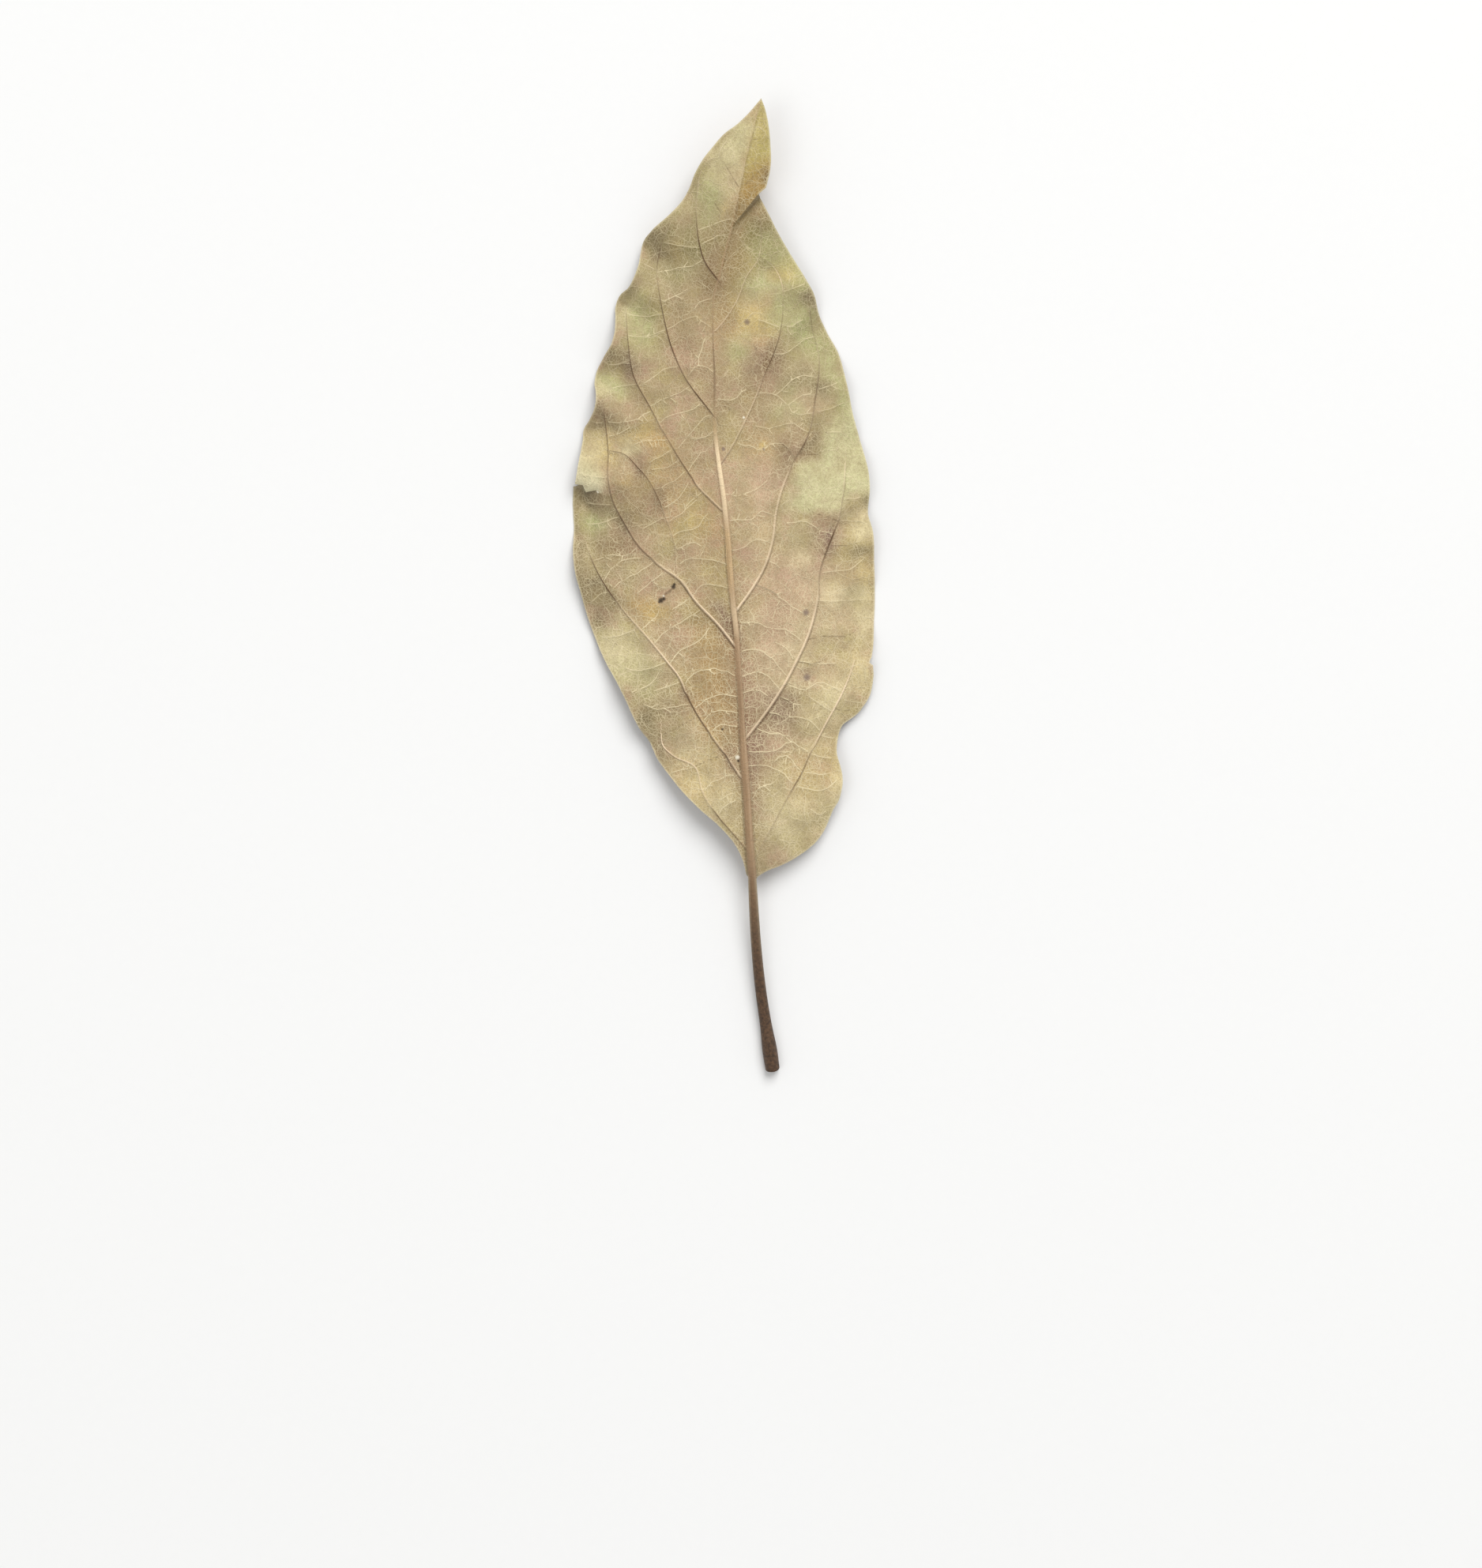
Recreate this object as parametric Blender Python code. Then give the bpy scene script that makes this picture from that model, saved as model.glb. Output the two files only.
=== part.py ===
"""A dried avocado leaf lying on a flat surface with its raised veins up.

The leaf is one solid. Its plan is a cut and waved outline with a tear on the left and a fold at the tip. The plan is
filled with triangles that follow the veins, thickened into a sheet, and both faces are then raised by the same form:
a shallow roof along the midrib, waves along the margins, and ribs for the midrib, side veins and net.

Plan sizes are millimetres. +Y runs from the blade's base to its tip, and +Z is up.
"""

import math

import bmesh
import bpy
import numpy as np
from mathutils import Vector
from mathutils.geometry import delaunay_2d_cdt

MM = 0.001
LEAF_NAME = "leaf"
LEAF_COLOUR = (0.49, 0.38, 0.22, 1.0)
LEAF_ROUGHNESS = 0.72

# The blade, with its tip 136.5 mm from its base.
BLADE_THICKNESS = 0.64
STEEPEST_THICKENING = 1.9
MARGIN_STEP = 1.6
VEIN_STEP = 1.7
NET_STEP = 1.8
FILL_STEP = 1.7

# How the plan's points are laid, as the least gaps to other points and to the margin.
CREST_GAPS = (0.3, 0.12)
SHOULDER_GAPS = (0.3, 0.2)
FLANK_GAPS = (0.33, 0.3)
VEIN_GAPS = (0.55, 0.5)
VEIN_SIDE_GAPS = (0.42, 0.5)
NET_GAPS = (0.6, 0.6)
FILL_GAPS = (1.0, 0.8)
LINE_CLEARANCE = 0.7
MEETING_GAP = 1e-5

# How finely the smooth curves are followed.
TABLE_STEP = 0.5
RIB_STEP = 1.0
PARTS_OF_A_STEP = 8
SLOPE_REACH = 0.2
SHARP_ANGLE = 50

# The stalk's axis from its cut end to the blade's base, and the midrib's from there to the tip.
STALK = [(4.6, -34.0), (3.7, -28.0), (2.5, -20.0), (1.7, -12.0), (1.25, -5.0)]
MIDRIB = [
    (1.0, 0.0), (0.5, 7.0), (0.0, 15.4), (-0.45, 21.3), (-0.9, 29.0), (-1.4, 36.4), (-1.9, 45.0), (-2.7, 54.4),
    (-3.1, 59.8), (-4.1, 67.3), (-4.9, 72.4), (-5.5, 78.0), (-5.6, 87.5), (-5.9, 97.6), (-5.6, 102.7),
    (-5.0, 104.7), (-3.9, 109.2), (-3.1, 112.3), (-2.2, 115.8), (-1.6, 119.3), (-0.8, 122.9), (-0.1, 126.4),
    (0.8, 129.9), (1.7, 133.5), (2.5, 136.3),
]

# Each table gives a size at places along the leaf's length, as (y, size).
RIB_HALF_WIDTH = [
    (-34.0, 1.25), (-31.0, 1.32), (-27.0, 1.08), (-18.0, 0.95), (0.0, 0.95), (15.0, 0.75), (45.0, 0.5),
    (92.0, 0.3), (136.5, 0.15),
]
LEAST_FLANK = 0.4
STALK_SHOULDER = 0.6
BLADE_FOOT = 2.0
RIB_TOP_RELIEF = [
    (-34.0, 0.85), (-31.0, 0.98), (-27.0, 0.76), (-18.0, 0.64), (0.0, 0.68), (15.0, 0.62), (45.0, 0.48),
    (92.0, 0.3), (136.5, 0.12),
]
RIB_UNDER_RELIEF = [
    (-34.0, 0.85), (-31.0, 0.98), (-27.0, 0.76), (-18.0, 0.64), (0.0, 0.5), (15.0, 0.3), (45.0, 0.15), (92.0, 0.05),
    (136.5, 0.0),
]
RIDGE_HEIGHT = [
    (-34.0, 1.05), (-28.0, 1.15), (-18.0, 1.9), (0.0, 4.1), (15.0, 5.5), (35.0, 6.8), (60.0, 7.4), (80.0, 7.1),
    (100.0, 6.3), (113.0, 5.9), (125.0, 6.3), (136.5, 7.0),
]
LEFT_FALL = [(-34.0, 0.1), (0.0, 0.16), (20.0, 0.2), (45.0, 0.23), (62.0, 0.243), (80.0, 0.24), (101.0, 0.26),
             (115.0, 0.2), (136.5, 0.1)]
RIGHT_FALL = [(-34.0, 0.1), (0.0, 0.16), (20.0, 0.22), (47.0, 0.278), (60.0, 0.25), (78.0, 0.235), (95.0, 0.302),
              (112.0, 0.24), (136.5, 0.1)]
RIDGE_ROUNDING = 2.0

# The margin, from the tip down the left side and up the right side. Each run is smooth and meets the next at a corner.
LEFT_UPPER = [
    (2.56, 136.5), (0.4, 134.0), (-1.6, 132.1), (-3.9, 130.4), (-6.1, 128.0), (-7.9, 125.6), (-9.1, 123.6),
    (-10.3, 120.8), (-11.7, 118.6), (-14.2, 116.0), (-16.7, 113.8), (-18.2, 112.2), (-18.75, 110.2),
    (-19.0, 108.2), (-19.6, 106.2), (-20.8, 103.9), (-22.4, 102.7), (-23.2, 100.9), (-23.2, 98.6), (-23.3, 96.1),
    (-23.9, 93.8), (-25.3, 91.6), (-26.5, 89.5), (-26.9, 87.3), (-26.6, 85.0), (-26.8, 82.7), (-27.75, 80.7),
    (-28.8, 79.2), (-29.0, 76.9), (-29.5, 73.9), (-30.0, 70.9), (-30.3, 69.2),
]
TEAR_UPPER_LIP = [(-28.95, 68.95), (-28.4, 67.75), (-26.4, 68.1)]
TEAR_END = (-25.8, 67.8)
TEAR_LOWER_LIP = [(-26.6, 67.5), (-28.7, 67.1), (-29.3, 68.3)]
LEFT_LOWER = [
    (-30.7, 68.5), (-30.8, 66.1), (-30.6, 62.2), (-30.7, 57.3), (-30.35, 53.9), (-29.3, 50.0), (-28.2, 46.1),
    (-26.8, 42.2), (-24.9, 37.8), (-22.9, 34.2), (-21.2, 30.8), (-20.0, 28.1), (-18.8, 25.9), (-17.1, 23.7),
    (-15.9, 21.0), (-13.7, 17.9), (-10.8, 14.4), (-7.85, 11.5), (-5.65, 9.6), (-3.6, 7.6), (-1.9, 5.4),
    (-0.6, 2.6), (0.05, 0.0),
]
RIGHT_LOWER = [
    (1.95, 0.0), (3.4, 0.9), (6.2, 2.0), (9.6, 3.9), (12.2, 6.0), (14.0, 8.6), (14.75, 10.4), (15.4, 11.9),
    (16.25, 13.3), (16.8, 15.3), (17.0, 17.3), (16.6, 19.5), (16.0, 21.5), (16.1, 24.0), (16.4, 25.5), (17.0, 26.7),
    (18.3, 27.7), (19.6, 28.7), (20.8, 30.2), (21.8, 31.9), (22.3, 33.9), (22.5, 35.9), (22.4, 37.3),
]
RIGHT_NICK = [(21.8, 37.8)]
RIGHT_UPPER = [
    (22.2, 38.9), (22.4, 40.3), (22.6, 44.7), (22.75, 50.5), (22.6, 55.9), (22.4, 60.7), (21.5, 64.6), (21.6, 65.8),
    (21.8, 68.3), (21.6, 71.4), (20.9, 74.4), (19.9, 77.9), (18.9, 81.5), (18.2, 85.0), (17.3, 89.0), (16.3, 92.6),
    (14.3, 96.3), (12.8, 99.6), (12.0, 102.7), (10.5, 105.4), (8.75, 108.2), (7.0, 111.0), (5.2, 114.0),
    (3.7, 116.9), (2.6, 118.9), (2.2, 119.6),
]
RIGHT_TIP = [(3.4, 120.6), (4.0, 122.9), (4.3, 125.6), (4.2, 127.9), (3.9, 131.4), (3.2, 134.7), (2.56, 136.5)]
STALK_END_BULGE = 0.6
STALK_END_ANGLES = (45, 90, 135)

# Crests and hollows of the margin's waves, each list starting with a crest: the places along Y where they follow each
# other, then how far they rise and fall and how far they reach into the blade.
LEFT_WAVES = [126.0, 119.5, 114.9, 111.4, 105.0, 101.6, 93.8, 89.6, 83.5, 79.0, 71.5, 63.5, 54.0, 43.0, 30.6, 22.0,
              12.0]
LEFT_WAVE_RISE = [(0.0, 0.1), (20.0, 0.4), (45.0, 0.7), (63.0, 0.8), (78.0, 1.1), (112.0, 1.1), (126.0, 0.3),
                  (136.5, 0.0)]
LEFT_WAVE_REACH = 6.5
RIGHT_WAVES = [117.0, 110.0, 103.5, 96.5, 87.5, 78.0, 66.0, 62.0, 59.0, 47.5, 36.5, 26.0, 16.0, 5.0]
RIGHT_WAVE_RISE = [(0.0, 0.1), (16.0, 0.7), (26.0, 0.75), (46.0, 0.5), (63.0, 0.65), (96.0, 0.55), (112.0, 0.3),
                   (119.0, 0.0), (136.5, 0.0)]
RIGHT_WAVE_REACH = 8.0

# The waves lean like the side veins: this much further down the leaf for each length away from the margin.
WAVE_LEAN = 0.6

# Soft swellings and dips of the blade away from its margins, as (x, y, radius, height).
SWELLINGS = [
    (12.5, 65.5, 6.0, 0.75), (15.5, 57.0, 4.0, -0.45), (-21.0, 71.0, 6.0, 0.4), (-15.0, 92.0, 7.0, 0.3),
    (-10.0, 104.0, 7.0, -0.3), (8.0, 82.0, 7.0, -0.3), (2.0, 92.0, 4.0, -0.3), (-21.0, 62.5, 4.0, -0.45),
    (-14.0, 36.0, 8.0, 0.35), (8.0, 26.0, 6.0, -0.4), (13.0, 44.0, 7.0, 0.35), (-12.0, 56.0, 8.0, -0.3),
    (6.0, 104.0, 6.0, 0.35), (-13.0, 76.0, 6.0, 0.25),
]

# Fine puckers all over the blade, as waves that cross each other: (waviness along X, along Y, phase).
PUCKER_HEIGHT = 0.09
PUCKERS = [(0.95, 0.42, 0.0), (-0.35, 0.88, 1.0), (0.62, -0.71, 2.3), (1.21, 0.16, 4.0), (0.18, 1.17, 5.1)]

# The waves and puckers fade out towards the blade's base and the midrib, over these lengths.
BASE_CALM = 10.0
RIB_CALM = 6.0

# Where the margin touches the surface, as (x, y). The blade lies flat there within a radius, and rises back to its form
# over a further distance.
RESTING_SPOTS = [(-30.1, 63.3), (22.0, 47.2), (14.2, 94.8)]
RESTING_RADIUS = 1.5
RESTING_FADE = 5.0
RESTING_PRESS = 0.02

# The tip's right half is folded up along a line from the margin to the midrib, so a step runs beside that line.
TIP_FOLD_OUTER = (2.2, 119.6)
TIP_FOLD_INNER = (-2.5, 113.2)
TIP_FOLD_STEP = 1.4
TIP_FOLD_SLOPE = 0.66
TIP_FOLD_HEIGHT = 3.1

# The flap above the tear stands proud of the blade below it.
TEAR_LINE = [(-31.5, 68.9), (-29.1, 68.65), (-28.5, 67.45), (-26.5, 67.8), (-25.8, 67.8)]
TEAR_RISE = 1.0
TEAR_DROP = 0.5
TEAR_REACH = 4.0
TEAR_LENGTH = 6.0

# Side veins, each from its foot at the midrib or at another vein to its end.
SIDE_VEINS = [
    [(-5.0, 104.7), (-7.4, 108.2), (-8.4, 111.8), (-8.7, 114.8), (-8.2, 122.9), (-7.2, 125.7)],
    [(-5.7, 80.7), (-10.7, 87.5), (-13.2, 93.1), (-14.7, 99.1), (-15.5, 103.7), (-15.8, 107.2), (-15.0, 111.2),
     (-13.2, 115.3)],
    [(-4.3, 64.3), (-8.7, 68.8), (-11.2, 72.4), (-14.7, 78.4), (-17.2, 83.0), (-20.0, 88.5), (-20.8, 93.6),
     (-21.3, 100.1)],
    [(-2.0, 40.5), (-4.9, 44.2), (-8.8, 48.3), (-11.5, 52.0), (-14.7, 54.4), (-19.1, 58.3), (-21.5, 62.2),
     (-23.7, 66.6), (-24.4, 70.5), (-24.4, 74.9), (-25.1, 81.5)],
    [(-1.0, 17.6), (-4.9, 23.2), (-7.8, 27.1), (-10.3, 31.5), (-11.7, 34.9), (-13.9, 37.8), (-18.1, 42.9),
     (-22.2, 47.6), (-24.4, 50.5), (-26.4, 53.9), (-28.3, 58.6)],
    [(0.6, 4.0), (-2.4, 7.6), (-5.0, 10.6), (-7.7, 14.9), (-9.1, 19.4), (-12.9, 21.3), (-14.9, 23.5), (-15.0, 25.1)],
    [(-4.4, 72.4), (-0.6, 80.4), (1.4, 86.0), (4.0, 90.8), (5.7, 95.6), (6.4, 100.1), (6.1, 104.9), (4.8, 107.4),
     (2.3, 109.0)],
    [(-5.5, 95.8), (-3.8, 97.8), (-1.5, 101.7), (-0.1, 105.4), (2.1, 108.8), (2.6, 112.0), (2.5, 114.8),
     (1.3, 117.4)],
    [(-1.75, 46.8), (0.9, 50.5), (3.1, 54.4), (4.6, 59.3), (5.1, 63.7), (6.0, 67.5), (8.2, 72.9), (10.7, 77.3),
     (12.0, 83.5), (12.8, 89.5), (12.6, 93.4), (11.9, 95.7), (11.2, 100.0)],
    [(-0.1, 24.4), (2.3, 27.4), (5.8, 32.5), (8.7, 37.8), (10.9, 42.7), (12.4, 48.5), (13.1, 54.4), (14.1, 57.3),
     (16.0, 62.4), (17.0, 67.1), (17.4, 72.9)],
    [(0.8, 2.1), (4.2, 8.3), (7.6, 14.6), (9.8, 18.4), (11.3, 21.8), (14.0, 27.0), (16.8, 32.2), (18.3, 35.8),
     (19.0, 38.0)],
    [(-12.2, 53.0), (-13.0, 59.8), (-14.4, 63.7), (-15.6, 66.6), (-17.1, 69.5), (-19.5, 72.4), (-21.5, 74.4),
     (-24.0, 75.1)],
]
SIDE_VEIN_FOOT = (0.5, 0.34)
SIDE_VEIN_TIP = (0.36, 0.15)

# The net's stronger strands, which cross from one side vein to the next.
NET_STRANDS = [
    [(-15.7, 106.5), (-13.0, 107.0), (-9.6, 107.4), (-7.6, 108.5)],
    [(-14.8, 101.0), (-13.3, 101.8), (-10.4, 103.3)],
    [(-13.9, 96.3), (-10.8, 98.0), (-8.7, 98.5), (-7.9, 97.5), (-6.1, 96.3)],
    [(-9.1, 99.8), (-7.5, 101.3), (-6.1, 101.5)],
    [(-14.5, 111.6), (-12.9, 111.3), (-10.6, 110.7), (-8.7, 110.6)],
    [(-8.1, 111.0), (-6.3, 112.0), (-5.0, 112.7)],
    [(-8.6, 113.7), (-5.9, 114.5), (-2.8, 115.5)],
    [(-5.5, 118.2), (-4.7, 117.1), (-2.8, 115.1)],
    [(-1.5, 121.1), (-3.2, 123.3), (-4.9, 126.4), (-4.2, 128.5)],
    [(-21.4, 99.6), (-18.6, 98.7), (-14.9, 99.0)],
    [(-20.8, 95.4), (-18.0, 95.0), (-14.4, 96.1)],
    [(-18.0, 108.0), (-16.3, 107.1)],
    [(-16.9, 82.8), (-15.2, 83.7), (-11.7, 84.9), (-9.8, 86.2)],
    [(-15.1, 79.8), (-13.7, 81.0), (-10.4, 81.6), (-8.2, 82.9)],
    [(-12.0, 75.2), (-8.8, 79.0), (-7.6, 80.4), (-6.3, 80.9)],
    [(-10.4, 87.8), (-8.4, 89.9), (-5.9, 88.6)],
    [(-8.4, 89.9), (-8.0, 92.5), (-7.4, 94.4)],
    [(-18.0, 86.8), (-16.2, 88.0), (-14.3, 89.2), (-12.3, 89.5)],
    [(-26.6, 80.1), (-24.0, 80.0), (-20.7, 80.0), (-17.0, 81.8)],
    [(-24.2, 77.7), (-21.7, 78.3), (-20.5, 79.1)],
    [(-23.6, 86.2), (-21.9, 86.6), (-19.3, 86.7)],
    [(-24.2, 90.4), (-20.3, 90.3)],
    [(-17.0, 72.8), (-15.4, 73.8), (-12.7, 75.1)],
    [(-19.7, 76.1), (-17.8, 76.7), (-13.9, 76.6)],
    [(-16.6, 71.6), (-14.5, 71.8), (-11.7, 73.3)],
    [(-10.2, 71.2), (-9.2, 73.0), (-8.0, 74.4)],
    [(-16.2, 68.1), (-12.3, 69.9), (-10.8, 71.2)],
    [(-14.9, 64.6), (-12.3, 66.2), (-10.2, 69.1)],
    [(-10.8, 64.8), (-9.2, 66.4), (-7.8, 67.5)],
    [(-9.6, 76.9), (-7.4, 77.1), (-5.9, 78.0)],
    [(-28.0, 66.0), (-26.0, 65.6), (-23.4, 65.8)],
    [(-28.8, 70.7), (-24.8, 70.3)],
    [(-18.1, 61.4), (-16.5, 62.2), (-14.8, 63.1)],
    [(-13.6, 62.4), (-10.5, 64.5), (-8.8, 66.1)],
    [(-12.9, 59.9), (-11.1, 61.0), (-9.7, 60.8), (-6.8, 63.7)],
    [(-12.8, 57.5), (-11.3, 57.9), (-9.7, 58.9), (-8.0, 58.1)],
    [(-11.7, 55.0), (-9.9, 56.0), (-7.4, 55.8), (-3.5, 54.8)],
    [(-9.3, 49.3), (-8.0, 51.2), (-6.2, 51.3), (-3.1, 50.6)],
    [(-27.0, 55.8), (-23.8, 56.7), (-21.8, 56.4), (-19.5, 57.8)],
    [(-25.1, 52.3), (-24.0, 54.2), (-21.8, 55.8), (-18.7, 56.1)],
    [(-24.0, 49.9), (-22.8, 51.7), (-20.3, 53.0), (-16.4, 55.4)],
    [(-19.3, 49.9), (-16.4, 52.2), (-14.8, 53.4)],
    [(-13.0, 47.0), (-11.7, 47.8), (-10.5, 48.7)],
    [(-18.3, 43.7), (-16.5, 45.2), (-15.4, 46.8)],
    [(-16.4, 40.9), (-14.8, 42.7), (-11.1, 44.8), (-8.2, 46.8)],
    [(-13.4, 37.6), (-12.3, 39.4), (-8.8, 41.0), (-6.6, 43.7)],
    [(-21.3, 36.8), (-20.0, 36.3), (-15.6, 37.1), (-14.0, 37.8)],
    [(-25.6, 42.3), (-23.8, 42.3), (-19.7, 43.5)],
    [(-27.2, 48.6), (-26.1, 49.7), (-24.3, 50.1)],
    [(-27.4, 62.4), (-25.7, 62.5), (-22.4, 63.5)],
    [(-20.2, 32.5), (-16.7, 34.2), (-15.4, 36.0)],
    [(-16.3, 32.7), (-14.2, 33.4), (-11.9, 34.2)],
    [(-17.9, 30.3), (-16.3, 29.6), (-14.0, 29.7), (-9.9, 30.3)],
    [(-15.0, 25.1), (-13.0, 25.8), (-8.7, 28.2)],
    [(-9.1, 19.4), (-7.0, 20.4), (-4.2, 21.5)],
    [(-10.9, 33.7), (-9.7, 35.2), (-8.2, 36.1), (-3.9, 36.2), (-2.1, 35.3)],
    [(-8.9, 29.8), (-7.2, 31.1), (-5.0, 32.1), (-1.7, 31.7)],
    [(-7.6, 27.4), (-6.0, 28.8), (-1.5, 28.8)],
    [(-6.2, 25.4), (-5.0, 26.6), (-1.7, 26.4)],
    [(-7.6, 14.9), (-6.4, 16.5), (-2.3, 17.9)],
    [(-5.0, 10.8), (-4.1, 12.4), (-2.0, 13.4)],
    [(-13.0, 18.4), (-9.1, 19.4)],
    [(-0.7, 35.2), (2.1, 36.1), (4.1, 34.8), (5.7, 33.2)],
    [(-0.6, 32.3), (2.7, 32.7), (3.7, 31.8)],
    [(0.1, 22.1), (5.5, 22.3), (7.8, 23.8), (9.4, 22.9), (11.1, 21.8)],
    [(0.3, 19.5), (2.0, 19.7), (5.7, 18.7), (8.3, 16.3)],
    [(4.9, 20.3), (6.2, 21.5), (9.6, 18.6)],
    [(2.0, 15.5), (2.9, 16.0), (4.4, 16.3)],
    [(1.8, 26.1), (3.4, 25.4), (6.6, 24.9), (7.7, 23.9)],
    [(4.0, 28.9), (6.0, 28.3), (10.7, 27.6), (12.9, 25.8)],
    [(5.9, 31.6), (7.9, 30.8), (9.6, 30.2)],
    [(7.0, 34.0), (10.5, 33.1), (12.0, 34.1), (14.6, 33.7), (16.9, 32.6)],
    [(11.3, 31.5), (13.3, 30.3), (15.0, 29.2)],
    [(8.8, 16.0), (13.1, 15.1), (14.6, 15.7), (15.9, 17.0)],
    [(9.8, 18.4), (12.4, 18.1), (14.0, 18.1)],
    [(11.3, 21.8), (13.1, 21.2), (15.0, 20.9)],
    [(13.1, 24.9), (15.3, 24.4)],
    [(15.5, 29.7), (17.4, 29.2), (18.7, 29.6)],
    [(11.3, 11.9), (12.9, 10.8), (14.0, 11.6)],
    [(-0.8, 39.6), (1.7, 40.1), (4.7, 38.1), (7.0, 35.4)],
    [(5.1, 41.2), (6.2, 40.8), (8.2, 38.3)],
    [(-1.2, 44.7), (1.9, 44.6), (4.3, 43.7), (6.8, 43.5), (9.7, 41.5)],
    [(1.6, 51.2), (5.6, 49.4), (7.4, 47.9), (11.1, 45.7)],
    [(3.9, 55.5), (5.8, 54.3)],
    [(-2.5, 57.2), (-0.6, 57.8), (2.1, 59.2), (4.4, 58.6)],
    [(-2.9, 62.4), (1.2, 62.9), (2.6, 64.3), (5.0, 63.4)],
    [(-4.0, 67.2), (-1.3, 66.9), (0.9, 67.5), (3.6, 69.6)],
    [(-1.6, 76.1), (0.9, 75.6), (2.8, 74.9), (3.8, 75.8), (5.9, 76.4), (8.5, 73.3)],
    [(1.6, 79.2), (5.1, 79.0), (7.3, 79.9), (11.2, 78.2)],
    [(11.3, 78.2), (14.1, 78.4), (16.8, 78.5)],
    [(2.2, 85.0), (5.2, 84.9), (7.1, 83.2), (7.9, 81.9), (11.8, 81.7)],
    [(5.2, 84.9), (7.1, 86.6), (9.0, 88.2), (12.5, 88.1)],
    [(7.3, 83.1), (9.8, 84.8), (12.2, 85.3)],
    [(12.6, 81.9), (14.5, 82.5), (17.0, 83.6)],
    [(12.9, 86.0), (14.7, 86.7), (16.0, 87.2)],
    [(9.6, 74.5), (12.6, 74.4), (13.7, 74.9)],
    [(-5.0, 83.8), (-2.9, 83.7), (-0.1, 85.6)],
    [(4.0, 90.8), (2.2, 92.3), (0.4, 94.4)],
    [(5.0, 92.1), (7.6, 92.5), (9.5, 94.5), (12.0, 95.6)],
    [(2.1, 98.0), (4.1, 97.4), (5.8, 96.8)],
    [(6.0, 97.2), (8.3, 97.2), (9.9, 98.3)],
    [(6.4, 103.0), (8.9, 104.0), (10.2, 104.5)],
    [(-2.2, 81.4), (-4.0, 82.6)],
    [(7.1, 62.2), (10.8, 62.3), (13.3, 60.8), (15.1, 60.4)],
    [(10.9, 58.8), (13.8, 56.8)],
    [(9.2, 37.9), (12.3, 37.5), (15.6, 37.7)],
    [(10.9, 41.8), (13.2, 42.2), (18.3, 42.9), (20.3, 45.1)],
    [(12.5, 48.6), (15.0, 48.6), (20.8, 49.0)],
    [(13.4, 53.6), (15.2, 53.7), (18.3, 54.3), (20.8, 56.2)],
    [(15.0, 58.3), (19.5, 58.6), (20.8, 59.8)],
    [(16.1, 62.7), (20.0, 62.8)],
    [(16.8, 66.5), (20.0, 66.9)],
    [(-0.9, 122.5), (2.6, 124.0)],
]
NET_HALF_WIDTH = 0.45
NET_RELIEF = 0.16


def smooth_line(points, step):
    """Returns points about a step apart on a smooth curve through the given ones."""
    knots = np.array(points, float)
    spans = np.linalg.norm(np.diff(knots, axis=0), axis=1)
    slopes = np.diff(knots, axis=0) / spans[:, None]
    tangents = np.vstack([slopes[:1], slopes[-1:]])
    if len(knots) > 2:
        before, after = spans[:-1, None], spans[1:, None]
        inner = (slopes[:-1] * after + slopes[1:] * before) / (before + after)
        tangents = np.vstack([slopes[:1], inner, slopes[-1:]])
    line = []
    for i, span in enumerate(spans):
        count = max(1, round(span / step))
        t = (np.arange(count) / count)[:, None]
        start, end = knots[i], knots[i + 1]
        line.append(
            (2 * t**3 - 3 * t**2 + 1) * start
            + (t**3 - 2 * t**2 + t) * span * tangents[i]
            + (3 * t**2 - 2 * t**3) * end
            + (t**3 - t**2) * span * tangents[i + 1]
        )
    return np.vstack(line + [knots[-1:]])


def even_line(points, step):
    """Returns the smooth curve through the given points with its own points evenly spaced."""
    fine = smooth_line(points, step / PARTS_OF_A_STEP)
    run = np.concatenate([[0.0], np.cumsum(np.linalg.norm(np.diff(fine, axis=0), axis=1))])
    marks = np.linspace(0.0, run[-1], max(2, round(run[-1] / step) + 1))
    return np.column_stack([np.interp(marks, run, fine[:, k]) for k in (0, 1)])


def along(table, y):
    """Reads a (y, size) table smoothly at each y."""
    line = smooth_line(table, TABLE_STEP)
    return np.interp(y, line[:, 0], line[:, 1])


def smooth_step(t):
    t = np.clip(t, 0.0, 1.0)
    return t * t * (3 - 2 * t)


def nearest_on_line(x, y, line):
    """Returns each point's distance to a polyline and how far along it, from 0 to 1, the nearest place is."""
    best = np.full(x.shape, np.inf)
    place = np.zeros(x.shape)
    run = np.concatenate([[0.0], np.cumsum(np.linalg.norm(np.diff(line, axis=0), axis=1))])
    for i in range(len(line) - 1):
        (ax, ay), (bx, by) = line[i], line[i + 1]
        length = run[i + 1] - run[i]
        t = np.clip(((x - ax) * (bx - ax) + (y - ay) * (by - ay)) / length**2, 0.0, 1.0)
        gap = np.hypot(x - ax - t * (bx - ax), y - ay - t * (by - ay))
        closer = gap < best
        best[closer] = gap[closer]
        place[closer] = (run[i] + t[closer] * length) / run[-1]
    return best, place


def rib_axis():
    return smooth_line(STALK + MIDRIB, RIB_STEP)


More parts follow.
